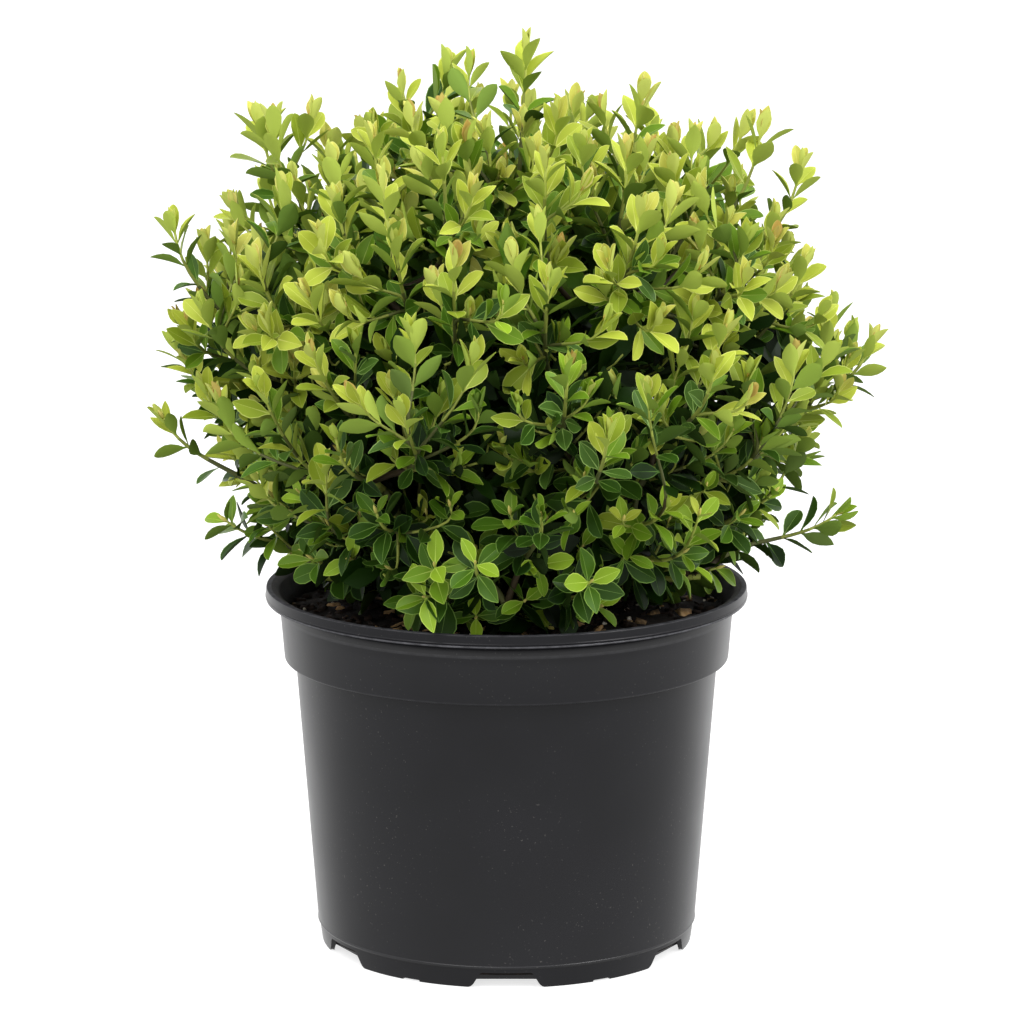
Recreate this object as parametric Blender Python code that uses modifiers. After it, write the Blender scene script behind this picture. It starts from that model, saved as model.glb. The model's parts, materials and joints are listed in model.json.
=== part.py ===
"""Potted inkberry holly: a young, dense evergreen shrub in a low black nursery pot.

Metres, +Z up. The origin is on the ground, on the pot's axis, and the front is -Y.
The plant is a short stem, boughs that fork from it, and a crown of foliage masses.
Each mass keeps to its own cone-shaped space, which opens from the crown's root.
"""

import math
import random
from typing import NamedTuple

import bmesh
import bpy
from mathutils import Matrix, Vector

# Pot: a moulded plastic shell with a rolled rim, a stacking collar and notched feet.
POT_HEIGHT = 0.212
RIM_RADIUS = 0.140
RIM_INNER_RADIUS = 0.1325
RIM_DEPTH = 0.0072
COLLAR_TOP_RADIUS = 0.1312
COLLAR_TOP = 0.2005
COLLAR_FOOT_RADIUS = 0.1294
COLLAR_FOOT = 0.170
BODY_TOP_RADIUS = 0.1221
BODY_TOP = 0.1660
BODY_FOOT_RADIUS = 0.1112
SKIRT_RADIUS = 0.1100
SKIRT_TOP = 0.0130
FOOT_RADIUS = 0.1088
WALL = 0.0024
FLOOR_UNDERSIDE = 0.0050
FLOOR_TOP = 0.0074
POT_STEPS = 48

# Drain notches: six wide ones through the foot, and six shallow nicks between them.
NOTCH_COUNT = 6
NOTCH_HEIGHT = 0.0093
NOTCH_FOOT_WIDTH = 0.0400
NOTCH_TOP_WIDTH = 0.0295
NOTCH_DEPTH = 0.0120
NICK_HEIGHT = 0.0014
NICK_WIDTH = 0.0110

# Potting mix: fills the shell to a little below the rim, and is flat round the stem.
SOIL_TOP = 0.1990
SOIL_FLAT_RADIUS = 0.050
SOIL_EDGE_DROP = 0.0035
CLEAR = 0.0003

# Crown: a squarish dome that is cut away underneath, so that it clears the rim.
CROWN_ROOT = Vector((0.0, 0.0, SOIL_TOP + 0.008))
CROWN_HALF_WIDTH = 0.2030
CROWN_HEIGHT = 0.3080
CROWN_SQUARENESS = 3.0
LOW_ANGLE = math.radians(1.0)
LOW_REACH = 0.128
LOW_OPENING = 0.240
RIM_CLEARANCE = 0.0020
UNDERSIDE_SLOPE = 0.42

# Main shoots: leaders that stand out of the dome, then others that fill between them.
SHOOT_COUNT = 93
SHOOT_SEED = 7
SHOOT_TRIES = 300
REACH_LOW, REACH_HIGH = 0.925, 1.0
EDGE_CLEARANCE = math.radians(4.5)
# Each leader is (across, depth, height) of its topmost leaf's tip.
LEADERS = (
    (0.012, -0.010, 0.534),
    (-0.064, 0.020, 0.514),
    (0.082, -0.015, 0.510),
    (-0.150, 0.010, 0.490),
    (0.157, -0.020, 0.487),
    (0.174, 0.030, 0.463),
    (-0.205, -0.015, 0.424),
    (-0.209, 0.020, 0.345),
    (-0.206, -0.020, 0.306),
    (0.212, 0.010, 0.352),
    (0.190, -0.035, 0.405),
    (0.209, -0.020, 0.252),
    (-0.181, -0.030, 0.246),
    (0.055, -0.208, 0.345),
    (-0.030, 0.208, 0.340),
    (0.018, -0.192, 0.298),
    (-0.017, -0.168, 0.266),
    (0.050, -0.150, 0.249),
    (-0.050, -0.142, 0.236),
)


class Ring(NamedTuple):
    """One storey of the crown: masses at one elevation, and the boughs that carry them."""

    name: str
    count: int
    elevation: float
    turn: float
    fork_height: float
    bough_length: float
    bough_radius: float


RINGS = (
    Ring("low", 5, math.radians(8), math.radians(0), 0.013, 0.054, 0.0048),
    Ring("mid", 5, math.radians(34), math.radians(36), 0.034, 0.066, 0.0044),
    Ring("top", 4, math.radians(62), math.radians(45), 0.056, 0.088, 0.0040),
    Ring("crest", 1, math.radians(90), math.radians(0), 0.062, 0.100, 0.0040),
)

# Stem, from the flat cut at the soil to its fork.
STEM_HEIGHTS = (0.0, 0.005, 0.014, 0.030, 0.048, 0.066)
STEM_RADII = (0.0200, 0.0170, 0.0146, 0.0128, 0.0112, 0.0088)
STEM_LEAN = 0.045
BOUGH_TIP_RADIUS = 0.0030
BOUGH_POINTS = 5
LIMB_BEVEL_STEPS = 2

# Twigs and leaves of a mass.
TWIG_SIDES = 3
MASS_STEM_SIDES = 5
MASS_STEM_SHARE = 0.62
MASS_STEM_TIP_RADIUS = 0.0016
TWIG_RADIUS = 0.0024
TWIG_TIP_RADIUS = 0.0015
BRANCH_ANGLE = math.radians(38)
KNEE_SHARE = 0.68
LEAF_LENGTH = 0.0450
LEAF_WIDTH = 0.0225
LEAF_THICKNESS = 0.0016
LEAF_WIDEST = 0.56
LEAF_ROOT = 0.0006
LEAF_FITS = (1.0, 0.82, 0.66)
# Each pair of leaves is (share of the bare shoot below its end, angle to it, share of size).
LEAF_PAIRS = (
    (0.05, math.radians(26), 0.76),
    (0.45, math.radians(52), 0.96),
    (0.90, math.radians(70), 1.00),
)
SHORTEST_BARE = 0.020
TERMINAL_REACH = LEAF_LENGTH * LEAF_PAIRS[0][2] * math.cos(LEAF_PAIRS[0][1])
SPACE_MARGIN = 0.0006

# Core of a mass: a smaller, rough lump of dense growth that the shoots stand out of.
CORE_SHARE = 0.78
CORE_ROUGHNESS = 0.07
CORE_SEED = 3
CORE_MARGIN = 0.0010
CORE_INSET = 0.008
CORE_FLOOR = 0.004
CORE_FINENESS = 3

COLOURS = {
    "pot_plastic": ((0.030, 0.030, 0.033), 0.45),
    "potting_mix": ((0.022, 0.015, 0.010), 0.95),
    "bark": ((0.130, 0.095, 0.055), 0.85),
    "foliage_low": ((0.045, 0.120, 0.025), 0.50),
    "foliage_mid": ((0.085, 0.200, 0.030), 0.50),
    "foliage_top": ((0.210, 0.330, 0.060), 0.50),
    "foliage_crest": ((0.210, 0.330, 0.060), 0.50),
}


class Mass(NamedTuple):
    """A foliage mass: its node's name, its axis from the crown's root, and its stem's start."""

    name: str
    ring: Ring
    axis: Vector
    inner: float


def clear_scene():
    for obj in list(bpy.data.objects):
        bpy.data.objects.remove(obj)


def new_collection(name):
    collection = bpy.data.collections.new(name)
    bpy.context.scene.collection.children.link(collection)
    return collection


def material(name):
    """The named Principled material, made once."""
    found = bpy.data.materials.get(name)
    if found:
        return found
    colour, roughness = COLOURS[name]
    made = bpy.data.materials.new(name)
    made.use_nodes = True
    shader = made.node_tree.nodes["Principled BSDF"]
    shader.inputs["Base Color"].default_value = (*colour, 1.0)
    shader.inputs["Roughness"].default_value = roughness
    shader.inputs["Metallic"].default_value = 0.0
    return made


def link_mesh(name, mesh, collection, finish=None):
    obj = bpy.data.objects.new(name, mesh)
    collection.objects.link(obj)
    if finish:
        mesh.materials.clear()
        mesh.materials.append(material(finish))
    return obj


def evaluated_mesh(obj):
    """A new mesh of the object with its modifiers applied, welded, in its own space."""
    bpy.context.view_layer.update()
    graph = bpy.context.evaluated_depsgraph_get()
    mesh = bpy.data.meshes.new_from_object(obj.evaluated_get(graph))
    shape = bmesh.new()
    shape.from_mesh(mesh)
    bmesh.ops.remove_doubles(shape, verts=shape.verts, dist=1e-6)
    shape.to_mesh(mesh)
    shape.free()
    return mesh


def primitive(name, make, **sizes):
    """A mesh from one of bmesh's own primitives."""
    shape = bmesh.new()
    make(shape, **sizes)
    mesh = bpy.data.meshes.new(name)
    shape.to_mesh(mesh)
    shape.free()
    return mesh


def turned(name, profile, collection, finish):
    """A solid of revolution from (radius, height) points that run down its outer side."""
    mesh = bpy.data.meshes.new(name)
    edges = [(i, i + 1) for i in range(len(profile) - 1)]
    mesh.from_pydata([(r, 0.0, z) for r, z in profile], edges, [])
    obj = link_mesh(name, mesh, collection)
    screw = obj.modifiers.new("turn", "SCREW")
    screw.steps = screw.render_steps = POT_STEPS
    screw.use_merge_vertices = True
    screw.merge_threshold = 0.00005
    obj.data = evaluated_mesh(obj)
    obj.modifiers.clear()
    obj.data.materials.append(material(finish))
    return obj


def apply_boolean(obj, operation, collection, solver="EXACT"):
    """Joins or cuts obj with every object of the collection, and removes those objects."""
    boolean = obj.modifiers.new(operation.lower(), "BOOLEAN")
    boolean.operation = operation
    boolean.operand_type = "COLLECTION"
    boolean.collection = collection
    boolean.solver = solver
    made = evaluated_mesh(obj)
    obj.modifiers.clear()
    obj.data = made
    for other in list(collection.objects):
        bpy.data.objects.remove(other)


def keep_largest_body(mesh):
    """Drops loose scraps, also those that touch the body at a corner or an edge only."""
    shape = bmesh.new()
    shape.from_mesh(mesh)
    unseen = set(shape.faces)
    bodies = []
    while unseen:
        waiting = [unseen.pop()]
        body = []
        while waiting:
            face = waiting.pop()
            body.append(face)
            for edge in face.edges:
                if len(edge.link_faces) != 2:
                    continue
                for other in edge.link_faces:
                    if other in unseen:
                        unseen.discard(other)
                        waiting.append(other)
        bodies.append(body)
    bodies.sort(key=len)
    scraps = [face for body in bodies[:-1] for face in body]
    bmesh.ops.delete(shape, geom=scraps, context="FACES")
    shape.to_mesh(mesh)
    shape.free()


# Pot and potting mix.


def pot_inner_wall(gap=0.0):
    """The shell's inner side from the floor to the rim, drawn in by a gap for what fills it."""
    inset = WALL + gap
    return [
        (BODY_FOOT_RADIUS - inset, FLOOR_TOP + gap),
        (BODY_TOP_RADIUS - inset, BODY_TOP + WALL + gap),
        (COLLAR_FOOT_RADIUS - inset, COLLAR_FOOT + WALL + gap),
        (COLLAR_TOP_RADIUS - inset, COLLAR_TOP),
    ]


def pot_profile():
    skirt_inner = FOOT_RADIUS - WALL
    return (
        [(0.0, FLOOR_TOP)]
        + pot_inner_wall()
        + [
            (RIM_INNER_RADIUS, POT_HEIGHT - 0.0022),
            (RIM_INNER_RADIUS + 0.0018, POT_HEIGHT),
            (RIM_RADIUS - 0.0016, POT_HEIGHT),
            (RIM_RADIUS, POT_HEIGHT - 0.0014),
            (RIM_RADIUS, POT_HEIGHT - RIM_DEPTH),
            (COLLAR_TOP_RADIUS + 0.0030, COLLAR_TOP + 0.0030),
            (COLLAR_TOP_RADIUS, COLLAR_TOP),
            (COLLAR_FOOT_RADIUS, COLLAR_FOOT),
            (BODY_TOP_RADIUS, BODY_TOP),
            (BODY_FOOT_RADIUS, SKIRT_TOP),
            (SKIRT_RADIUS, SKIRT_TOP - 0.0006),
            (FOOT_RADIUS, 0.0),
            (skirt_inner, 0.0),
            (skirt_inner, FLOOR_UNDERSIDE),
            (0.0, FLOOR_UNDERSIDE),
        ]
    )


def foot_cutter(name, foot_width, top_width, height, angle, collection):
    """A block with sloping ends that stands across the foot at an angle round the pot."""
    curve = bpy.data.curves.new(name, "CURVE")
    curve.dimensions = "2D"
    curve.fill_mode = "BOTH"
    curve.extrude = NOTCH_DEPTH / 2
    outline = [
        (-foot_width / 2 - 0.002, -0.002),
        (foot_width / 2 + 0.002, -0.002),
        (top_width / 2, height),
        (-top_width / 2, height),
    ]
    spline = curve.splines.new("POLY")
    spline.points.add(len(outline) - 1)
    for point, (across, up) in zip(spline.points, outline):
        point.co = (across, up, 0.0, 1.0)
    spline.use_cyclic_u = True
    guide = bpy.data.objects.new(name, curve)
    collection.objects.link(guide)
    cutter = link_mesh(name + "_solid", evaluated_mesh(guide), collection)
    bpy.data.objects.remove(guide)
    upright = Matrix.Rotation(math.pi / 2, 4, "X")
    outwards = Matrix.Translation((0.0, -(SKIRT_RADIUS - NOTCH_DEPTH / 2 + 0.003), 0.0))
    cutter.matrix_world = Matrix.Rotation(angle, 4, "Z") @ outwards @ upright
    cutter.hide_render = True
    cutter.display_type = "WIRE"


def make_pot(parts, cutters):
    pot = turned("pot", pot_profile(), parts, "pot_plastic")
    pitch = math.tau / NOTCH_COUNT
    for i in range(NOTCH_COUNT):
        foot_cutter(
            f"notch_{i}", NOTCH_FOOT_WIDTH, NOTCH_TOP_WIDTH, NOTCH_HEIGHT, i * pitch, cutters
        )
        foot_cutter(
            f"nick_{i}", NICK_WIDTH, NICK_WIDTH, NICK_HEIGHT, (i + 0.5) * pitch, cutters
        )
    apply_boolean(pot, "DIFFERENCE", cutters)
    pot.data.shade_smooth()
    pot.data.set_sharp_from_angle(angle=math.radians(35))


def make_potting_mix(parts):
    wall = pot_inner_wall(CLEAR)
    edge_height = SOIL_TOP - SOIL_EDGE_DROP
    lower, upper = wall[2], wall[3]
    share = (edge_height - lower[1]) / (upper[1] - lower[1])
    edge_radius = lower[0] + share * (upper[0] - lower[0])
    profile = [
        (0.0, SOIL_TOP),
        (SOIL_FLAT_RADIUS, SOIL_TOP),
        (edge_radius, edge_height),
        wall[2],
        wall[1],
        wall[0],
        (0.0, FLOOR_TOP + CLEAR),
    ]
    turned("potting_mix", profile, parts, "potting_mix")


# Stem and boughs.


def limb_mesh(name, points, radii):
    """A tapering limb through the points, round in section, with flat ends."""
    curve = bpy.data.curves.new(name, "CURVE")
    curve.dimensions = "3D"
    curve.bevel_depth = 1.0
    curve.bevel_resolution = LIMB_BEVEL_STEPS
    curve.use_fill_caps = True
    spline = curve.splines.new("POLY")
    spline.points.add(len(points) - 1)
    for point, place, radius in zip(spline.points, points, radii):
        point.co = (*place, 1.0)
        point.radius = radius
    guide = bpy.data.objects.new(name + "_guide", curve)
    bpy.context.scene.collection.objects.link(guide)
    mesh = evaluated_mesh(guide)
    bpy.data.objects.remove(guide)
    shape = bmesh.new()
    shape.from_mesh(mesh)
    bmesh.ops.recalc_face_normals(shape, faces=shape.faces)
    shape.to_mesh(mesh)
    shape.free()
    mesh.name = name
    return mesh


def stem_point_at(height):
    """A point of the stem's centre line, which is upright at its foot and then leans."""
    lean = STEM_LEAN * max(height - STEM_HEIGHTS[1], 0.0)
    return Vector((lean, -lean * 0.5, SOIL_TOP + CLEAR + height))


def stem_points():
    return [stem_point_at(height) for height in STEM_HEIGHTS]


def bough_points(mass):
    """From the stem's centre to the mass's root, leaving low and turning up along its axis."""
    start = stem_point_at(mass.ring.fork_height)
    end = CROWN_ROOT + mass.axis * (mass.inner - CLEAR)
    control = end - mass.axis * (end - start).length * 0.45
    points = []
    for i in range(BOUGH_POINTS):
        t = i / (BOUGH_POINTS - 1)
        points.append((1 - t) ** 2 * start + 2 * t * (1 - t) * control + t * t * end)
    # The last stretch is straight along the axis, so that its end face is square to it.
    points[-2] = end - mass.axis * (end - points[-2]).length
    return points


def seat_in_stem(cutters):
    """A slightly grown copy of the stem, which cuts the roots of the boughs to fit round it."""
    points = stem_points()
    rise = (points[1] - points[0]).normalized() * CLEAR
    points = [points[0] - rise, *points, points[-1] + rise]
    grown = [r + CLEAR * 1.3 for r in (STEM_RADII[0], *STEM_RADII, STEM_RADII[-1])]
    seat = link_mesh("seat", limb_mesh("seat", points, grown), cutters)
    seat.hide_render = True
    seat.display_type = "WIRE"


def make_stem_and_boughs(masses, parts, cutters):
    stem = link_mesh("stem", limb_mesh("stem", stem_points(), STEM_RADII), parts, "bark")
    stem.data.shade_smooth()
    for mass in masses:
        name = "bough_" + mass.name.removeprefix("foliage_")
        points = bough_points(mass)
        root_radius = mass.ring.bough_radius
        radii = [
            root_radius + (BOUGH_TIP_RADIUS - root_radius) * i / (len(points) - 1)
            for i in range(len(points))
        ]
        bough = link_mesh(name, limb_mesh(name, points, radii), parts, "bark")
        seat_in_stem(cutters)
        apply_boolean(bough, "DIFFERENCE", cutters)
        keep_largest_body(bough.data)
        bough.data.shade_smooth()
        bough.data.set_sharp_from_angle(angle=math.radians(50))


# Crown: its outline, its spaces and its shoots.


def direction(azimuth, elevation):
    """A unit vector. Azimuth 0 is the front, and it turns towards the right."""
    return Vector(
        (
            math.cos(elevation) * math.sin(azimuth),
            -math.cos(elevation) * math.cos(azimuth),
            math.sin(elevation),
        )
    )


def crown_reach(elevation):
    """How far the dome's surface lies from the crown's root."""
    across = abs(math.cos(elevation)) / CROWN_HALF_WIDTH
    up = abs(math.sin(elevation)) / CROWN_HEIGHT
    dome = (across**CROWN_SQUARENESS + up**CROWN_SQUARENESS) ** (-1 / CROWN_SQUARENESS)
    return min(dome, LOW_REACH + max(elevation - LOW_ANGLE, 0.0) * LOW_OPENING)


def underside(radius):
    """The lowest height that foliage takes at a distance from the pot's axis."""
    if radius < COLLAR_FOOT_RADIUS - WALL - 0.006:
        return SOIL_TOP + RIM_CLEARANCE
    return POT_HEIGHT + RIM_CLEARANCE + max(radius - RIM_RADIUS, 0.0) * UNDERSIDE_SLOPE


def make_masses():
    masses = []
    for ring in RINGS:
        for i in range(ring.count):
            azimuth = ring.turn + math.tau * i / ring.count
            axis = direction(azimuth, ring.elevation)
            masses.append(Mass(f"foliage_{ring.name}_{i + 1}", ring, axis, ring.bough_length))
    return masses


def depth_in_space(offset, mass, masses):
    """How far a point, given from the crown's root, lies inside the planes round its mass."""
    return min(
        offset.dot(mass.axis - other.axis) / (mass.axis - other.axis).length
        for other in masses
        if other is not mass
    )


def in_space(point, mass, masses, margin=SPACE_MARGIN):
    offset = point - CROWN_ROOT
    return (
        offset.length > mass.inner + margin
        and depth_in_space(offset, mass, masses) > margin
        and point.z > underside(math.hypot(point.x, point.y)) + margin
    )


def make_shoots(masses):
    """(mass, tip) of each main shoot. Each new one takes the widest gap among the others."""
    shoots = []
    for place in LEADERS:
        unit = (Vector(place) - CROWN_ROOT).normalized()
        shoots.append((max(masses, key=lambda m: m.axis.dot(unit)), Vector(place)))
    rng = random.Random(SHOOT_SEED)
    while len(shoots) < SHOOT_COUNT:
        best, widest = None, 0.0
        for _ in range(SHOOT_TRIES):
            unit = direction(rng.uniform(0.0, math.tau), math.asin(rng.random()))
            mass = max(masses, key=lambda m: m.axis.dot(unit))
            if depth_in_space(unit, mass, masses) < math.sin(EDGE_CLEARANCE):
                continue
            reach = crown_reach(math.asin(unit.z)) * rng.uniform(REACH_LOW, REACH_HIGH)
            tip = CROWN_ROOT + unit * reach
            gap = min((other - tip).length for _, other in shoots)
            if gap > widest and tip.z > underside(math.hypot(tip.x, tip.y)) + LEAF_WIDTH / 2:
                best, widest = (mass, tip), gap
        shoots.append(best)
    return shoots


def frame_along(start, along, facing):
    """A matrix at start with Y along a line and Z as near facing as it can be."""
    y = along.normalized()
    x = y.cross(facing).normalized()
    z = x.cross(y)
    turn = Matrix((x, y, z)).transposed().to_4x4()
    return Matrix.Translation(start) @ turn


def twig(name, start, end, root_radius, tip_radius, sides, collection):
    """A straight tapering twig between two points."""
    along = end - start
    mesh = primitive(
        name,
        bmesh.ops.create_cone,
        cap_ends=True,
        segments=sides,
        radius1=root_radius,
        radius2=tip_radius,
        depth=along.length,
    )
    obj = link_mesh(name, mesh, collection)
    obj.matrix_world = Matrix.Translation((start + end) / 2) @ (
        along.to_track_quat("Z", "Y").to_matrix().to_4x4()
    )


def leaf_mesh():
    """A leaf of eight faces, one unit long from its root at the origin towards +Y."""
    mesh = primitive("leaf", bmesh.ops.create_uvsphere, u_segments=4, v_segments=2, radius=1.0)
    for vertex in mesh.vertices:
        x, y, z = vertex.co
        # The sphere's poles become the root and the tip, and its equator the blade.
        along = 0.0 if z < -0.5 else (1.0 if z > 0.5 else LEAF_WIDEST)
        vertex.co = (x * LEAF_WIDTH / 2, along, -y * LEAF_THICKNESS / 2)
    return mesh


def leaf_corners(frame, length, share):
    """The corners that a leaf reaches: its tip and the two sides of its blade."""
    half = LEAF_WIDTH * share / 2
    return [
        frame @ Vector((0.0, length, 0.0)),
        frame @ Vector((half, length * LEAF_WIDEST, 0.0)),
        frame @ Vector((-half, length * LEAF_WIDEST, 0.0)),
    ]


def add_leaves(name, start, tip, roll, mass, masses, leaf, collection):
    """Crossed pairs of leaves down a shoot. A leaf that would leave the mass's space is made
    smaller, or skipped."""
    along = (tip - start).normalized()
    side = along.orthogonal().normalized()
    offset = tip - CROWN_ROOT
    bare = offset.length - crown_reach(math.asin(offset.z / offset.length)) * CORE_SHARE
    bare = max(bare, SHORTEST_BARE)
    for n, (below, angle, share) in enumerate(LEAF_PAIRS):
        node = tip - along * below * bare
        for half in range(2):
            turn = Matrix.Rotation(roll + n * math.pi / 2 + half * math.pi, 3, along)
            outwards = turn @ side
            heading = along * math.cos(angle) + outwards * math.sin(angle)
            facing = along * math.sin(angle) - outwards * math.cos(angle)
            frame = frame_along(node, heading, facing)
            for fit in LEAF_FITS:
                size = share * fit
                corners = leaf_corners(frame, LEAF_LENGTH * size, size)
                if all(in_space(corner, mass, masses) for corner in corners):
                    break
            else:
                continue
            # The leaf's root ends inside the twig, a little beyond the twig's middle.
            rooted = frame @ Matrix.Translation((0.0, -LEAF_ROOT, 0.0))
            blade = link_mesh(f"{name}_leaf_{n}_{half}", leaf, collection)
            length = LEAF_LENGTH * size + LEAF_ROOT
            blade.matrix_world = rooted @ Matrix.Diagonal((size, length, 1.0, 1.0))


def core_mesh(mass, masses):
    """A faceted lump: a smaller crown, cut back to the planes round the mass's space."""
    shape = bmesh.new()
    bmesh.ops.create_icosphere(shape, subdivisions=CORE_FINENESS, radius=1.0)
    rng = random.Random(CORE_SEED)
    for vertex in shape.verts:
        unit = vertex.co.normalized()
        rough = 1.0 + rng.uniform(-CORE_ROUGHNESS, CORE_ROUGHNESS)
        vertex.co = unit * crown_reach(math.asin(unit.z)) * CORE_SHARE * rough
    planes = [(mass.axis * (mass.inner + CORE_INSET), mass.axis)]
    planes.append((Vector((0.0, 0.0, CORE_FLOOR + SOIL_TOP - CROWN_ROOT.z)), Vector((0, 0, 1))))
    for other in masses:
        if other is not mass:
            between = (mass.axis - other.axis).normalized()
            planes.append((between * CORE_MARGIN, between))
    for place, facing in planes:
        found = bmesh.ops.bisect_plane(
            shape,
            geom=shape.verts[:] + shape.edges[:] + shape.faces[:],
            plane_co=place,
            plane_no=facing,
            clear_inner=True,
        )
        rim = [part for part in found["geom_cut"] if isinstance(part, bmesh.types.BMEdge)]
        if rim:
            bmesh.ops.edgeloop_fill(shape, edges=rim)
    bmesh.ops.remove_doubles(shape, verts=shape.verts, dist=0.0001)
    bmesh.ops.recalc_face_normals(shape, faces=shape.faces)
    bmesh.ops.translate(shape, verts=shape.verts, vec=CROWN_ROOT)
    mesh = bpy.data.meshes.new(mass.name)
    shape.to_mesh(mesh)
    shape.free()
    return mesh


def make_mass(mass, masses, tips, leaf, parts, growth):
    """One foliage mass: a core, a stem from its bough, shoots from the stem, and their leaves."""
    body = link_mesh(
        mass.name, core_mesh(mass, masses), parts, "foliage_" + mass.ring.name
    )
    root = CROWN_ROOT + mass.axis * mass.inner
    reach = crown_reach(math.asin(mass.axis.z))
    stem_length = (reach - mass.inner) * MASS_STEM_SHARE
    twig(
        mass.name + "_stem",
        root,
        root + mass.axis * stem_length,
        BOUGH_TIP_RADIUS,
        MASS_STEM_TIP_RADIUS,
        MASS_STEM_SIDES,
        growth,
    )
    rng = random.Random(mass.name)
    for n, tip in enumerate(tips):
        offset = tip - root
        forward = offset.dot(mass.axis)
        sideways = (offset - mass.axis * forward).length
        leaves_at = forward - sideways / math.tan(BRANCH_ANGLE)
        leaves_at = min(max(leaves_at, CORE_INSET), stem_length * 0.95)
        start = root + mass.axis * leaves_at
        # The branch leaves the stem at an angle, then turns and runs out to the shoot's tip.
        knee = CROWN_ROOT + (tip - CROWN_ROOT) * KNEE_SHARE
        end = tip - (tip - knee).normalized() * TERMINAL_REACH
        name = f"{mass.name}_{n}"
        inward = (knee - end).normalized() * TWIG_RADIUS
        twig(name, start, knee, TWIG_RADIUS, TWIG_RADIUS, TWIG_SIDES, growth)
        twig(name, knee + inward, end, TWIG_RADIUS, TWIG_TIP_RADIUS, TWIG_SIDES, growth)
        roll = rng.uniform(0.0, math.pi)
        add_leaves(name, knee, end, roll, mass, masses, leaf, growth)
    apply_boolean(body, "UNION", growth)
    keep_largest_body(body.data)


def main():
    clear_scene()
    parts = new_collection("potted_inkberry_holly")
    cutters = new_collection("cutters")
    growth = new_collection("growth")
    make_pot(parts, cutters)
    make_potting_mix(parts)
    masses = make_masses()
    make_stem_and_boughs(masses, parts, cutters)
    shoots = make_shoots(masses)
    leaf = leaf_mesh()
    for mass in masses:
        tips = [tip for owner, tip in shoots if owner is mass]
        make_mass(mass, masses, tips, leaf, parts, growth)


main()
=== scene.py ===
"""Looks of the potted inkberry holly: its pot, potting mix, wood, shoots, leaves and buds.

The crown grows by the rule of the part's source, whose values are written again here, and goes
on from its main shoots to side shoots, inner sprays and single leaves. Metres, front is -Y.
"""

import json
import math
import random
from typing import NamedTuple

import bmesh
import bpy
import numpy as np
from mathutils import Matrix, Vector, noise

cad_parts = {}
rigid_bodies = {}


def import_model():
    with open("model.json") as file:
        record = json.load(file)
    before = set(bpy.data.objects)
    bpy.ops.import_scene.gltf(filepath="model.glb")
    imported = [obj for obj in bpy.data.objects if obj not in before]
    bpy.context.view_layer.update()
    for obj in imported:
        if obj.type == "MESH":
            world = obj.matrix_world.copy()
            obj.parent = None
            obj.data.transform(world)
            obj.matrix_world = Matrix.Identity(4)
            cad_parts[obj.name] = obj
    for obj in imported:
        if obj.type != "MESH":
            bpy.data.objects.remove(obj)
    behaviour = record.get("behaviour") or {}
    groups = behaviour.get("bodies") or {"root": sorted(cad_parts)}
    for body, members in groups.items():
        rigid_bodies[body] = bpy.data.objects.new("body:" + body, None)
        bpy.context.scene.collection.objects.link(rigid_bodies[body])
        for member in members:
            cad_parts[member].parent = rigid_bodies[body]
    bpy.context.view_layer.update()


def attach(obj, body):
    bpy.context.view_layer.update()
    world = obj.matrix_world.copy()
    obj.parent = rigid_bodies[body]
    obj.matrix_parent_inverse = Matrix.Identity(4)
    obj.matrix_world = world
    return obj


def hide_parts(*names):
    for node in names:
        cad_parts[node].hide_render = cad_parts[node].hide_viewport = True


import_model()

MM = 0.001
UP = Vector((0.0, 0.0, 1.0))

# Pot, as in the part's source.
POT_HEIGHT = 0.212
RIM_RADIUS = 0.140
RIM_INNER_RADIUS = 0.1325
COLLAR_TOP_RADIUS, COLLAR_TOP = 0.1312, 0.2005
COLLAR_FOOT_RADIUS, COLLAR_FOOT = 0.1294, 0.170
BODY_TOP_RADIUS, BODY_TOP = 0.1221, 0.1660
BODY_FOOT_RADIUS = 0.1112
SKIRT_RADIUS, SKIRT_TOP = 0.1100, 0.0130
FOOT_RADIUS = 0.1088
WALL = 0.0024
FLOOR_UNDERSIDE, FLOOR_TOP = 0.0042, 0.0074
POT_STEPS = 144
NOTCH_COUNT = 6
NOTCH_HEIGHT = 0.0093
NOTCH_FOOT_WIDTH, NOTCH_TOP_WIDTH = 0.0400, 0.0295
LAND_CORNER, NOTCH_CORNER = 3.2, 1.6
NOTCH_DEPTH = 0.0085
NICK_HEIGHT, NICK_WIDTH = 0.0011, 0.0110

# Potting mix, as in the part's source.
SOIL_TOP = 0.1990
SOIL_FLAT_RADIUS = 0.050
SOIL_EDGE_DROP = 0.0035
SOIL_EDGE_RADIUS = 0.1282
CLEAR = 0.0003

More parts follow.
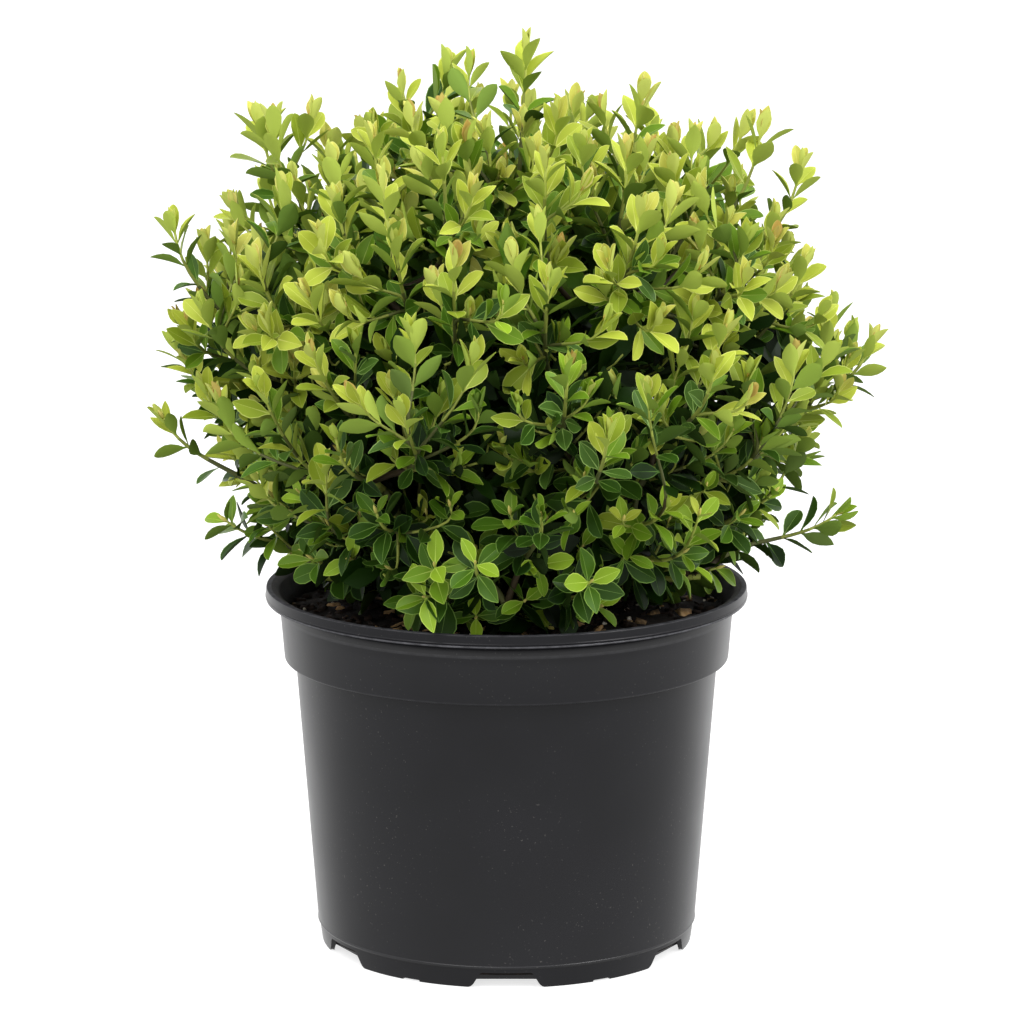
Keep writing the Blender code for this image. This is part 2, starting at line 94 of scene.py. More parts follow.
# Crown, as in the part's source.
CROWN_ROOT = Vector((0.0, 0.0, SOIL_TOP + 0.008))
CROWN_HALF_WIDTH = 0.2030
CROWN_HEIGHT = 0.3080
CROWN_SQUARENESS = 3.0
LOW_ANGLE = math.radians(1.0)
LOW_REACH = 0.128
LOW_OPENING = 0.240
RIM_CLEARANCE = 0.0020
UNDERSIDE_SLOPE = 0.42
SHOOT_COUNT = 93
SHOOT_SEED = 7
SHOOT_TRIES = 300
REACH_LOW, REACH_HIGH = 0.925, 1.0
EDGE_CLEARANCE = math.radians(4.5)
CAD_LEAF_WIDTH = 0.0225
LEADERS = (
    (0.012, -0.010, 0.534), (-0.064, 0.020, 0.514), (0.082, -0.015, 0.510),
    (-0.150, 0.010, 0.490), (0.157, -0.020, 0.487), (0.174, 0.030, 0.463),
    (-0.205, -0.015, 0.424), (-0.209, 0.020, 0.345), (-0.206, -0.020, 0.306),
    (0.212, 0.010, 0.352), (0.190, -0.035, 0.405), (0.209, -0.020, 0.252),
    (-0.181, -0.030, 0.246), (0.055, -0.208, 0.345), (-0.030, 0.208, 0.340),
    (0.018, -0.192, 0.298), (-0.017, -0.168, 0.266), (0.050, -0.150, 0.249),
    (-0.050, -0.142, 0.236),
)
STEM_HEIGHTS = (0.0, 0.005, 0.014, 0.030, 0.048, 0.066)
STEM_RADII = (0.0200, 0.0170, 0.0146, 0.0128, 0.0112, 0.0088)
STEM_LEAN = 0.045
BOUGH_TIP_RADIUS = 0.0030
MASS_STEM_SHARE = 0.62
MASS_STEM_TIP_RADIUS = 0.0016
BRANCH_ANGLE = math.radians(38)
KNEE_SHARE = 0.68
CORE_INSET = 0.008

# Side shoots fill the crown's surface between the main shoots, and sprays fill its inside.
SIDE_SHOOTS = 440
SIDE_SEED = 21
SIDE_TRIES = 40
SIDE_REACH = (0.80, 0.985)
INNER_SPRAYS = 640
INNER_SEED = 33
INNER_REACH = (0.40, 0.84)
INNER_LEAF_SIZE = 1.25
TIP_BEYOND_STEM = 14.0 * MM
# How far each leader's leaves end from the solids' mark, in mm: to the right, and up.
LEADER_SHIFTS = (
    (0, 0), (3, -3), (-4, 0), (7, 2), (-11, 4), (-2, 3), (14, 12), (12, 15), (3, 19), (4, 15),
    (-16, 11), (-8, 13), (10, 17), (0, 4), *((0, 0),) * 5,
)
# Side shoots that lead too. They stand out between the leaders.
LESSER_LEADERS = (
    (-0.113, 0.004, 0.497), (-0.131, -0.012, 0.493), (-0.036, 0.010, 0.523),
    (-0.019, -0.020, 0.525), (0.055, 0.006, 0.499), (0.139, 0.004, 0.488),
    (-0.175, 0.008, 0.422), (-0.189, -0.006, 0.380), (0.192, 0.012, 0.384),
    (0.205, 0.030, 0.366),
)
# The crown's lower edge, by the angle from the front.
LOW_EDGE_ANGLES = tuple(math.radians(a) for a in (0, 24, 32, 64, 76, 180))
LOW_EDGE_HEIGHTS = (4 * MM, 5 * MM, 34 * MM, 34 * MM, 8 * MM, 6 * MM)
# How far out the finer shoots end, by height: the crown narrows towards the pot, and leans.
FLANK_HEIGHTS = (0.225, 0.240, 0.255, 0.275, 0.303, 0.335, 0.362, 0.400, 0.425, 0.450, 0.485)
FLANK_SHARES = (0.90, 0.90, 0.89, 0.82, 0.88, 0.94, 1.07, 0.99, 1.015, 0.97, 0.93)
FLANK_DRIFTS = tuple(x * MM for x in (2, 2, 1, 3, 2, 5, 6, 1, 0, 0, -2))
TOP_FROM, TOP_SUNK = 0.475, 0.14
# The share of the side shoots that grow near the rim, where the crown is thinner.
KEPT_HEIGHTS = (0.225, 0.300, 0.360)
KEPT_SHARES = (0.30, 0.60, 1.0)
UPLIFT_HEIGHTS = (0.225, 0.270, 0.330, 0.420)
UPLIFT_SHARES = (0.08, 0.34, 0.56, 0.68)
# A side shoot leaves where its length times (1 + this x (1 - cosine of its angle)) is least,
# which is near the branch angle of the source's rule.
ANGLE_COST = 3.0
# The same for the bend that it makes between there and its tip's heading.
BEND_COST = 5.0
# Radii of the main, side and inner limbs at root and tip, and how far their tips go astray.
MAIN_RADII, MAIN_WANDER = (2.1 * MM, 0.75 * MM), 0.10
SIDE_RADII, SIDE_WANDER = (1.15 * MM, 0.6 * MM), 0.20
INNER_RADII, INNER_WANDER = (1.2 * MM, 0.6 * MM), 0.40
LAST_BRANCH_SHARE = 0.95
STEM_SIDES, MAIN_SIDES, SIDE_SIDES, INNER_SIDES = 7, 6, 5, 4


class Ring(NamedTuple):
    """One storey of the crown: masses at one elevation, and the boughs that carry them."""

    name: str
    count: int
    elevation: float
    turn: float
    fork_height: float
    bough_length: float
    bough_radius: float


RINGS = (
    Ring("low", 5, math.radians(8), math.radians(0), 0.013, 0.054, 0.0048),
    Ring("mid", 5, math.radians(34), math.radians(36), 0.034, 0.066, 0.0044),
    Ring("top", 4, math.radians(62), math.radians(45), 0.056, 0.088, 0.0040),
    Ring("crest", 1, math.radians(90), math.radians(0), 0.062, 0.100, 0.0040),
)


class Mass(NamedTuple):
    """A foliage mass: its name, its ring and its axis from the crown's root."""

    name: str
    ring: Ring
    axis: Vector


# Finishes.


def linear(colour):
    """An sRGB hex colour as linear RGBA."""
    parts = [int(colour[i : i + 2], 16) / 255 for i in (1, 3, 5)]
    return (*((c / 12.92 if c <= 0.04045 else ((c + 0.055) / 1.055) ** 2.4) for c in parts), 1.0)


def add(tree, kind, inputs=None, **settings):
    """Adds one shader node. Each input is given by name or number: as a value, as a socket to
    link, or as a node whose first output in use is linked."""
    made = tree.nodes.new("ShaderNode" + kind)
    for name, value in settings.items():
        setattr(made, name, value)
    for place, value in (inputs or {}).items():
        if isinstance(value, bpy.types.Node):
            value = next(socket for socket in value.outputs if socket.enabled)
        if isinstance(value, bpy.types.NodeSocket):
            tree.links.new(value, made.inputs[place])
        else:
            made.inputs[place].default_value = value
    return made


def finish(name, colour, roughness, ior, level=0.5):
    """A Principled material with the values that are the same all over the surface."""
    made = bpy.data.materials.new(name)
    made.use_nodes = True
    shader = made.node_tree.nodes["Principled BSDF"]
    shader.inputs["Base Color"].default_value = linear(colour)
    shader.inputs["Roughness"].default_value = roughness
    shader.inputs["Metallic"].default_value = 0.0
    shader.inputs["IOR"].default_value = ior
    shader.inputs["Specular IOR Level"].default_value = level
    return made, made.node_tree, shader


def cycles_per_metre(size_in_mm):
    """The texture scale at which one cell or blotch is about this size."""
    return 1.0 / (size_in_mm * MM)


class Edge(NamedTuple):
    """An edge of the pot drawn paler, partly worn by stacking and partly a painted highlight line:
    where it is, how wide and how pale.
    """

    height: float
    half_width: float
    radius: float
    share: float


# Pale strips along the pot's edges: partly worn by stacking, partly painted highlight lines.
RUBBED_AND_HIGHLIGHT_EDGES = (
    Edge(POT_HEIGHT, 0.4 * MM, RIM_RADIUS - 5.5 * MM, 0.5),
    Edge(POT_HEIGHT - 6.7 * MM, 0.7 * MM, RIM_RADIUS - 0.6 * MM, 0.8),
    Edge(COLLAR_TOP - 2.8 * MM, 0.8 * MM, COLLAR_TOP_RADIUS + 0.3 * MM, 0.15),
    Edge(COLLAR_FOOT + 0.3 * MM, 0.5 * MM, COLLAR_FOOT_RADIUS - 0.8 * MM, 0.15),
    Edge(SKIRT_TOP - 0.6 * MM, 0.5 * MM, SKIRT_RADIUS + 0.8 * MM, 0.10),
)


def moulded_polypropylene(name, gloss, smoothest=0.30):
    """Injection-moulded polypropylene, black with carbon: satin, with a faint mould grain,
    a little dust that clings to it, and edges drawn paler, partly worn by stacking and partly as
    painted highlight lines."""
    made, tree, shader = finish(name, "#0f0f12", smoothest, 1.49, gloss)
    place = add(tree, "TexCoord").outputs["Object"]
    cloud = add(tree, "TexNoise", {"Vector": place, "Scale": cycles_per_metre(60), "Detail": 3.0})
    # Dust specks are about 0.3 mm. They are drawn at 0.7 mm, and gather in faint drifts.
    specks = add(tree, "TexNoise",
                 {"Vector": place, "Scale": cycles_per_metre(1.4), "Detail": 1.0})
    speck = add(tree, "MapRange", {"Value": specks, "From Min": 0.70, "From Max": 0.78,
                                   "To Min": 0.0, "To Max": 0.30})
    drifts = add(tree, "MapRange", {"Value": cloud, "From Min": 0.42, "From Max": 0.62})
    dust = add(tree, "Math", {0: speck, 1: drifts}, operation="MULTIPLY")
    height = add(tree, "SeparateXYZ", {"Vector": place}).outputs["Z"]
    flat = add(tree, "VectorMath", {0: place, 1: (1.0, 1.0, 0.0)}, operation="MULTIPLY")
    radius = add(tree, "VectorMath", {0: flat}, operation="LENGTH")
    rub_and_highlight_noise = add(tree, "TexNoise", {"Vector": place, "Scale": cycles_per_metre(7),
                                  "Detail": 5.0, "Roughness": 0.7})
    rub_and_highlight_breakup = add(tree, "MapRange", {"Value": rub_and_highlight_noise, "From Min": 0.35, "From Max": 0.65,
                                    "To Min": 0.35, "To Max": 1.0})
    # The edge strips paint highlight lines as well as worn edges, broken up by the noise.
    wear_and_highlight = 0.0
    for edge in RUBBED_AND_HIGHLIGHT_EDGES:
        near = add(tree, "Math", {0: height, 1: edge.height, 2: edge.half_width},
                   operation="COMPARE")
        outer = add(tree, "Math", {0: radius, 1: edge.radius}, operation="GREATER_THAN")
        strip = add(tree, "Math", {0: near, 1: outer}, operation="MULTIPLY")
        wear_and_highlight = add(tree, "Math", {0: strip, 1: edge.share, 2: wear_and_highlight}, operation="MULTIPLY_ADD")
    wear_and_highlight = add(tree, "Math", {0: wear_and_highlight, 1: rub_and_highlight_breakup}, operation="MULTIPLY")
    colour = add(tree, "Mix", {"Factor": cloud, 6: linear("#0c0c0f"), 7: linear("#121217")},
                 data_type="RGBA")
    for share, paler in ((wear_and_highlight, "#5e5e62"), (dust, "#77746f")):
        colour = add(tree, "Mix", {"Factor": share, 6: colour, 7: linear(paler)},
                     data_type="RGBA")
    sheen = add(tree, "MapRange", {"Value": cloud, "From Min": 0.3, "From Max": 0.7,
                                   "To Min": smoothest, "To Max": smoothest + 0.07})
    # The real grain is about 0.2 mm. It is drawn at 0.6 mm, so that it shows.
    grain = add(tree, "TexNoise", {"Vector": place, "Scale": cycles_per_metre(0.6), "Detail": 2.0})
    bump = add(tree, "Bump", {"Height": grain, "Strength": 0.12, "Distance": 0.1 * MM})
    tree.links.new(colour.outputs[2], shader.inputs["Base Color"])
    tree.links.new(sheen.outputs["Result"], shader.inputs["Roughness"])
    tree.links.new(bump.outputs["Normal"], shader.inputs["Normal"])
    return made


def blotched(name, dark, pale, blotch_mm, relief_mm, relief, roughness):
    """A rough natural stuff in two colours, blotched at one real size, and pitted at another."""
    made, tree, shader = finish(name, dark, roughness, 1.5, 0.3)
    place = add(tree, "TexCoord").outputs["Object"]
    blotch = add(tree, "TexNoise", {"Vector": place, "Scale": cycles_per_metre(blotch_mm),
                                    "Detail": 4.0, "Roughness": 0.65})
    share = add(tree, "MapRange", {"Value": blotch, "From Min": 0.38, "From Max": 0.66})
    colour = add(tree, "Mix", {"Factor": share, 6: linear(dark), 7: linear(pale)},
                 data_type="RGBA")
    pits = add(tree, "TexNoise", {"Vector": place, "Scale": cycles_per_metre(relief_mm),
                                  "Detail": 5.0, "Roughness": 0.6})
    bump = add(tree, "Bump", {"Height": pits, "Strength": relief,
                              "Distance": relief_mm * 0.4 * MM})
    tree.links.new(colour.outputs[2], shader.inputs["Base Color"])
    tree.links.new(bump.outputs["Normal"], shader.inputs["Normal"])
    return made


# Leaf tones, young to old: blade, then margin and midrib, then underside, then roughness.
# A holly leaf has a waxed upper side, a paler rim and midrib, and a pale matte underside.
# The undersides and the pale young tones are also drawn brighter, as painted light shining
# through the leaf, and the darkest tones, down to near black, are painted shade deep in the crown.
LEAF_TONES = {
    "cream": ("#ccc06a", "#dcd68e", "#c2c466", 0.50),
    "bronze": ("#b69a4e", "#ccb066", "#b6a456", 0.48),
    "lime": ("#bebe58", "#d4d680", "#bac460", 0.46),
    "yellow_green": ("#a4b03c", "#c4cb66", "#a6b84e", 0.44),
    "soft_green": ("#809228", "#a8b456", "#829a3c", 0.42),
    "fresh_green": ("#809e28", "#aac452", "#829e3a", 0.40),
    "leaf_green": ("#5c7c1a", "#8fa446", "#708a38", 0.40),
    "grown_green": ("#406214", "#7a9a40", "#587228", 0.38),
    "blue_green": ("#3f5c20", "#83a154", "#607636", 0.40),
    "dark_green": ("#28430e", "#66863c", "#40581e", 0.38),
    "deep_green": ("#152b07", "#466628", "#263a10", 0.38),
    "painted_shade_green": ("#0c1904", "#22361a", "#18260a", 0.45),
}
TONES = list(LEAF_TONES)
LEAF_IOR = 1.45
# How glossy the upper side is, and the underside.
WAXED, MATTE = 0.16, 0.12
SURFACES = BLADE, EDGE, UNDER = range(3)
# Stem tones, from the tip down: the skin of a new shoot, then firmer skin, then thin bark.
# The lower ones are also drawn darker, as painted shade inside the crown.
TWIG_AGE_AND_SHADE_STEPS = (14 * MM, 30 * MM, 70 * MM)
TWIG_TONES = (("new_shoot_skin", "#9ca64a"), ("green_shoot_skin", "#7c8438"),
              ("firming_shaded_shoot_skin", "#50552a"), ("thin_shaded_twig_bark", "#3c3220"))


def leaf_finishes():
    """Three waxy or matte finishes for each tone, in the order that the faces count them."""
    made = []
    for tone, (blade, edge, under, roughness) in LEAF_TONES.items():
        made.append(finish(f"leaf_{tone}_blade", blade, roughness, LEAF_IOR, WAXED)[0])
        made.append(finish(f"leaf_{tone}_edge", edge, roughness + 0.05, LEAF_IOR, WAXED)[0])
        made.append(finish(f"leaf_{tone}_underside", under, 0.72, LEAF_IOR, MATTE)[0])
    return made


def twig_finishes():
    return [finish(name, colour, 0.6, LEAF_IOR, 0.4)[0] for name, colour in TWIG_TONES]


# Pieces.


def placed(name, data):
    """A new object of the scene that holds this data."""
    obj = bpy.data.objects.new(name, data)
    bpy.context.scene.collection.objects.link(obj)
    return obj


def enlist(obj, nodes=()):
    """Puts a piece on the one body, in place of the solids that it stands for."""
    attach(obj, "root")
    if nodes:
        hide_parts(*nodes)


def make_piece(name, points, faces, parts, finishes, nodes=(), smooth=True):
    """A mesh piece on the one body. Faces and their parts come in groups of equal corners."""
    mesh = bpy.data.meshes.new(name)
    points = np.asarray(points, np.float32)
    mesh.vertices.add(len(points))
    mesh.vertices.foreach_set("co", points.ravel())
    corners = np.concatenate([np.asarray(group, np.int32).ravel() for group in faces])
    counts = np.concatenate([np.full(len(group), len(group[0]), np.int32) for group in faces])
    mesh.loops.add(len(corners))
    mesh.loops.foreach_set("vertex_index", corners)
    mesh.polygons.add(len(counts))
    starts = np.concatenate(([0], np.cumsum(counts)[:-1])).astype(np.int32)
    mesh.polygons.foreach_set("loop_start", starts)
    places = np.concatenate([np.asarray(group, np.int32) for group in parts])
    used = np.unique(places)
    mesh.polygons.foreach_set("material_index", np.searchsorted(used, places).astype(np.int32))
    mesh.update(calc_edges=True)
    for index in used:
        mesh.materials.append(finishes[index])
    if smooth:
        mesh.shade_smooth()
    enlist(placed(name, mesh), nodes)


# Pot.


def rounded(profile):
    """The profile with each corner that has a radius, in mm, turned into a short curve."""
    made = []
    for i, (r, z, radius) in enumerate(profile):
        corner = np.array((r, z))
        if not radius:
            made.append(corner)
            continue
        before = np.array(profile[i - 1][:2]) - corner
        after = np.array(profile[i + 1][:2]) - corner
        reach = min(radius * MM, np.hypot(*before) * 0.48, np.hypot(*after) * 0.48)
        start = corner + before / np.hypot(*before) * reach
        end = corner + after / np.hypot(*after) * reach
        for t in np.linspace(0, 1, 5):
            made.append((1 - t) ** 2 * start + 2 * t * (1 - t) * corner + t * t * end)
    return made


def pot_profile():
    """(radius, height, corner radius in mm) from the floor up the inside and down the outside."""
    skirt_inner = FOOT_RADIUS - WALL
    inside = [
        (0.0, FLOOR_TOP, 0),
        (BODY_FOOT_RADIUS - WALL, FLOOR_TOP, 4.0),
        (BODY_TOP_RADIUS - WALL, BODY_TOP + WALL, 1.6),
        (COLLAR_FOOT_RADIUS - WALL, COLLAR_FOOT + WALL, 1.6),
        (COLLAR_TOP_RADIUS - WALL, COLLAR_TOP, 1.5),
    ]
    # Corners near each main one: how far out and up from it, and their own radius, in mm.
    outside = (
        (RIM_INNER_RADIUS, POT_HEIGHT, ((0, -2.2, 1.2), (2.0, -1.0, 0.8))),
        (RIM_RADIUS, POT_HEIGHT,
         ((-4.2, -0.5, 0.5), (-3.2, 0, 0.6), (-0.1, 0, 1.0), (0.1, -4.6, 0.3), (0.5, -5.0, 0.3),
          (0.4, -5.7, 0.3), (-0.3, -6.1, 0.3), (0.2, -6.6, 0.3), (0, -7.2, 0.9),
          (-1.6, -7.5, 0.4))),
        (COLLAR_TOP_RADIUS, COLLAR_TOP,
         ((-1.3, 3.4, 0.5), (0, -0.2, 3.0), (0.8, -2.8, 1.6), (0.3, -6.6, 2.4))),
        (COLLAR_FOOT_RADIUS, COLLAR_FOOT, ((0.1, -0.2, 1.0),)),
        (BODY_TOP_RADIUS, COLLAR_FOOT, ((1.0, -1.4, 1.2),)),
        (BODY_FOOT_RADIUS, SKIRT_TOP, ((0, 0.4, 0.2),)),
        (SKIRT_RADIUS, SKIRT_TOP, ((1.6, -0.2, 0.4), (0.4, -1.6, 0.4))),
    )
    foot = [(FOOT_RADIUS, 0.0, 0.5), (skirt_inner, 0.0, 0.5),
            (skirt_inner, FLOOR_UNDERSIDE, 0.8), (0.0, FLOOR_UNDERSIDE, 0)]
    corners = [(r + out * MM, z + up * MM, corner)
               for r, z, near in outside for out, up, corner in near]
    return inside + corners + foot


def evaluated_mesh(obj):
    """The object's mesh as its modifiers leave it."""
    bpy.context.view_layer.update()
    graph = bpy.context.evaluated_depsgraph_get()
    return bpy.data.meshes.new_from_object(obj.evaluated_get(graph))


def foot_cutter(name, foot_width, top_width, height, angle, collection):
    """A block with sloping ends that stands across the foot at an angle round the pot."""
    foot, top = foot_width / 2, top_width / 2
    # The right half of the outline, from the ground up. The land beside it rounds off, and
    # so does the notch's own top corner.
    beside, below, ground = foot + 8 * MM, -2 * MM, -0.05 * MM
    half = rounded(((beside, below, 0), (beside, ground, 0), (foot, ground, LAND_CORNER),
                    (top, height, NOTCH_CORNER), (0.0, height, 0)))[:-1]
    outline = half + [(-x, z) for x, z in reversed(half)]
    front = -(SKIRT_RADIUS + 3 * MM)
    count = len(outline)
    points = [(x, y, z) for y in (front, front + NOTCH_DEPTH) for x, z in outline]
    faces = [tuple(range(count)), tuple(range(2 * count - 1, count - 1, -1))]
    faces += [(i, i + count, (i + 1) % count + count, (i + 1) % count) for i in range(count)]
    mesh = bpy.data.meshes.new(name)
    mesh.from_pydata(points, [], faces)
    mesh.transform(Matrix.Rotation(angle, 4, "Z"))
    shape = bmesh.new()
    shape.from_mesh(mesh)
    bmesh.ops.recalc_face_normals(shape, faces=shape.faces)
    shape.to_mesh(mesh)
    shape.free()
    collection.objects.link(bpy.data.objects.new(name, mesh))


# The pot's finishes, in the order that its faces count them.
SATIN, DULL_INSIDE, SCUFFED_AND_SHADE, MATT_AND_SHADE = range(4)


def pot_finishes():
    return (
        moulded_polypropylene("moulded_polypropylene", 0.44),
        # The inside is drawn duller and browner, in blotches, which keeps it dark.
        blotched("dull_inner_polypropylene", "#0d0b09", "#231e18", 9, 1.2, 0.3, 0.75),
        # Hands and stacking scuff the rim, which leaves it duller than the wall. The neck under
        # the flange takes the same duller finish as painted shade.
        moulded_polypropylene("scuffed_and_shaded_polypropylene", 0.22),
        # The flat top of the rim and the underside of its flange are given almost no reflection,
        # which draws them dark. Under the flange this is painted shade.
        moulded_polypropylene("matt_and_shaded_polypropylene", 0.05, 0.60),
    )


def pot_finish_at(place, normal):
    """Which finish the pot has at a place on its surface."""
    if normal.xy.dot(place.xy.normalized()) < -0.25 and place.z > FLOOR_TOP:
        return DULL_INSIDE
    if place.z > POT_HEIGHT - 1.2 * MM and normal.z > 0.8:
        return MATT_AND_SHADE
    # The underside of the flange is painted shade: it is given almost no reflection.
    if place.z > COLLAR_TOP + 3 * MM and normal.z < -0.25:
        return MATT_AND_SHADE
    # Above the collar's top, the duller finish is scuffing on the rim and painted shade in the
    # neck.
    return SCUFFED_AND_SHADE if place.z > COLLAR_TOP + 0.8 * MM else SATIN


def make_pot():
    """The shell, turned round its axis, then cut at its foot."""
    points = [(r, 0.0, z) for r, z in rounded(pot_profile())]
    mesh = bpy.data.meshes.new("pot_shell")
    mesh.from_pydata(points, [(i, i + 1) for i in range(len(points) - 1)], [])
    shell = placed("pot_shell", mesh)
    turn = shell.modifiers.new("turn", "SCREW")
    turn.steps = turn.render_steps = POT_STEPS
    turn.use_merge_vertices = True
    turn.merge_threshold = 0.00004
    cutters = bpy.data.collections.new("foot_cutters")
    bpy.context.scene.collection.children.link(cutters)
    for i in range(NOTCH_COUNT):
        at = i * math.tau / NOTCH_COUNT
        foot_cutter(f"notch_{i}", NOTCH_FOOT_WIDTH, NOTCH_TOP_WIDTH, NOTCH_HEIGHT, at, cutters)
        foot_cutter(f"nick_{i}", NICK_WIDTH, NICK_WIDTH, NICK_HEIGHT,
                    at + math.pi / NOTCH_COUNT, cutters)
    cut = shell.modifiers.new("cut", "BOOLEAN")
    cut.operation = "DIFFERENCE"
    cut.operand_type = "COLLECTION"
    cut.collection = cutters
    cut.solver = "EXACT"
    shell.data = evaluated_mesh(shell)
    shell.modifiers.clear()
    for cutter in list(cutters.objects):
        bpy.data.objects.remove(cutter)
    bpy.data.collections.remove(cutters)
    shell.data.materials.clear()
    for made in pot_finishes():
        shell.data.materials.append(made)
    for face in shell.data.polygons:
        face.material_index = pot_finish_at(face.center, face.normal)
    shell.data.shade_smooth()
    shell.data.set_sharp_from_angle(angle=math.radians(38))
    enlist(shell, ["pot"])


# Potting mix.


# Lumps, crumbs and grit: their width and height in mm, and the level their pattern is cut at.
SOIL_RELIEF = ((14, 1.6, 0.3), (4, 0.9, 2.7), (1.7, 0.4, 5.1))


def soil_height(x, y):
    """The mix's lumpy top: flat round the stem, and lower towards the wall."""
    r = math.hypot(x, y)
    share = max(r - SOIL_FLAT_RADIUS, 0.0) / (SOIL_EDGE_RADIUS - SOIL_FLAT_RADIUS)
    relief = [noise.noise(Vector((x, y, level)) / (width * MM)) * height * MM
              for width, height, level in SOIL_RELIEF]
    return SOIL_TOP - SOIL_EDGE_DROP * share + sum(relief)


def ring_quads(count, sides, start=0):
    """The faces between rings of points, each ring joined to the next."""
    ring, k = np.mgrid[: count - 1, :sides].reshape(2, -1)
    low, high, after = start + ring * sides, start + (ring + 1) * sides, (k + 1) % sides
    return np.stack((low + k, low + after, high + after, high + k), axis=1)


def ring_ends(count, sides):
    """The two faces that close the first and the last ring."""
    k = np.arange(sides)
    return np.array((k[::-1], (count - 1) * sides + k))


def make_potting_mix():
    rings, steps = 58, 190
    round_it = [(math.cos(math.tau * k / steps), math.sin(math.tau * k / steps))
                for k in range(steps)]
    points = [(0.0, 0.0, soil_height(0.0, 0.0))]
    for i in range(1, rings + 1):
        r = SOIL_EDGE_RADIUS * (i / rings) ** 0.8
        points.extend([(r * x, r * y, soil_height(r * x, r * y)) for x, y in round_it])
    inset = WALL + CLEAR
    wall = ((COLLAR_FOOT_RADIUS - inset, COLLAR_FOOT + inset),
            (BODY_TOP_RADIUS - inset, BODY_TOP + inset),
            (BODY_FOOT_RADIUS - inset, FLOOR_TOP + CLEAR))
    for r, z in wall:
        points.extend([(r * x, r * y, z) for x, y in round_it])
    # The rings run outwards, so their faces turn the other way.
    quads = ring_quads(rings + len(wall), steps, 1)[:, [0, 3, 2, 1]]
    fan = [(0, 1 + k, 1 + (k + 1) % steps) for k in range(steps)]
    bottom = [list(range(len(points) - 1, len(points) - 1 - steps, -1))]
    # Composted bark and peat: near black when damp, in crumbs of 1 to 4 mm.
    mix = blotched("composted_bark_and_peat", "#0b0705", "#1d140d", 5, 1.5, 0.9, 0.95)
    make_piece("potting_mix_top", points, [quads, fan, bottom],
               [[0] * len(quads), [0] * len(fan), [0]], [mix], ["potting_mix"])


# Ranges of a chip's width and of its corners' moves, as shares of its size, how far it tilts
# each way, and how far it stands out.
CHIP_WIDTHS, CHIP_CORNERS, CHIP_TILTS, CHIP_STANDS = (0.35, 0.7), (0.55, 1.1), (0.5, 0.4), 0.4


def scatter_chips(name, count, seed, sizes, flatness, finishes, weights):
    """Broken bits on the mix: blocks with moved corners, half sunk, at random turns."""
    rng = random.Random(seed)
    cube = [(x, y, z) for x in (-1, 1) for y in (-1, 1) for z in (-1, 1)]
    sides = ((0, 1, 3, 2), (4, 6, 7, 5), (0, 4, 5, 1), (2, 3, 7, 6), (0, 2, 6, 4), (1, 5, 7, 3))
    points, faces, parts = [], [], []
    for _ in range(count):
        r = (SOIL_EDGE_RADIUS - 3 * MM) * math.sqrt(rng.random())
        turn = rng.uniform(0, math.tau)
        x, y = r * math.cos(turn), r * math.sin(turn)
        length = rng.uniform(*sizes) * MM / 2
        half = Vector((length, length * rng.uniform(*CHIP_WIDTHS),
                       length * rng.uniform(*flatness)))
        spin = Matrix.Rotation(rng.uniform(0, math.tau), 3, "Z")
        for most, axis in zip(CHIP_TILTS, "XY"):
            spin = spin @ Matrix.Rotation(rng.uniform(-most, most), 3, axis)
        centre = Vector((x, y, soil_height(x, y) + half.z * CHIP_STANDS))
        faces.extend([tuple(len(points) + i for i in side) for side in sides])
        for corner in cube:
            moved = Vector([c * h * rng.uniform(*CHIP_CORNERS) for c, h in zip(corner, half)])
            points.append(centre + spin @ moved)
        parts.extend([rng.choices(range(len(finishes)), weights)[0]] * len(sides))
    make_piece(name, points, [faces], [parts], finishes, smooth=False)


def make_chips():
    bark = [
        # Pine bark fines: flaky, dark when damp and tan where they have split.
        blotched("damp_pine_bark", "#150d08", "#2c1e13", 4, 1.0, 0.7, 0.9),
        blotched("dry_pine_bark", "#4c3b2a", "#88704e", 4, 1.0, 0.7, 0.9),
        blotched("split_pine_wood", "#9a784d", "#c4a274", 5, 0.8, 0.5, 0.85),
    ]
    scatter_chips("bark_chips", 800, 5, (2.0, 9.0), (0.2, 0.45), bark, (80, 12, 8))
    scatter_chips("long_chips", 60, 12, (9.0, 16.0), (0.12, 0.25), bark, (30, 30, 40))
    # Perlite: puffed volcanic glass, off-white and dusty.
    perlite = [blotched("puffed_perlite", "#a9a08e", "#d8d2c4", 1.5, 0.7, 0.6, 0.9)]
    scatter_chips("perlite_grains", 70, 8, (1.6, 3.4), (0.6, 0.9), perlite, (1,))


# Limbs.


def tube(points, radii, sides):
    """Points and faces of a closed limb, round in section, along a line of points."""
    points = np.asarray(points, float)
    along = np.gradient(points, axis=0)
    along /= np.linalg.norm(along, axis=1)[:, None]
    start = np.array((1.0, 0.0, 0.0)) if abs(along[0][0]) < 0.8 else np.array((0.0, 1.0, 0.0))
    turns = np.arange(sides) * (math.tau / sides)
    rings = []
    for place, heading, radius in zip(points, along, radii):
        start = start - heading * start.dot(heading)
        start /= np.linalg.norm(start)
        other = np.cross(heading, start)
        round_it = np.outer(np.cos(turns), start) + np.outer(np.sin(turns), other)
        rings.append(place + round_it * np.reshape(radius, (-1, 1)))
    return np.concatenate(rings), ring_quads(len(rings), sides), ring_ends(len(rings), sides)


BARK_SIDES = 20
# The seams of the bark. The fractal's values are its roughness, its step and its octaves.
SEAM_WIDTH, SEAM_LENGTH = 2.2 * MM, 9 * MM
SEAM_FRACTAL = (0.6, 2.1, 3)
STEM_RIDGE, BOUGH_RIDGE = 0.10, 0.09


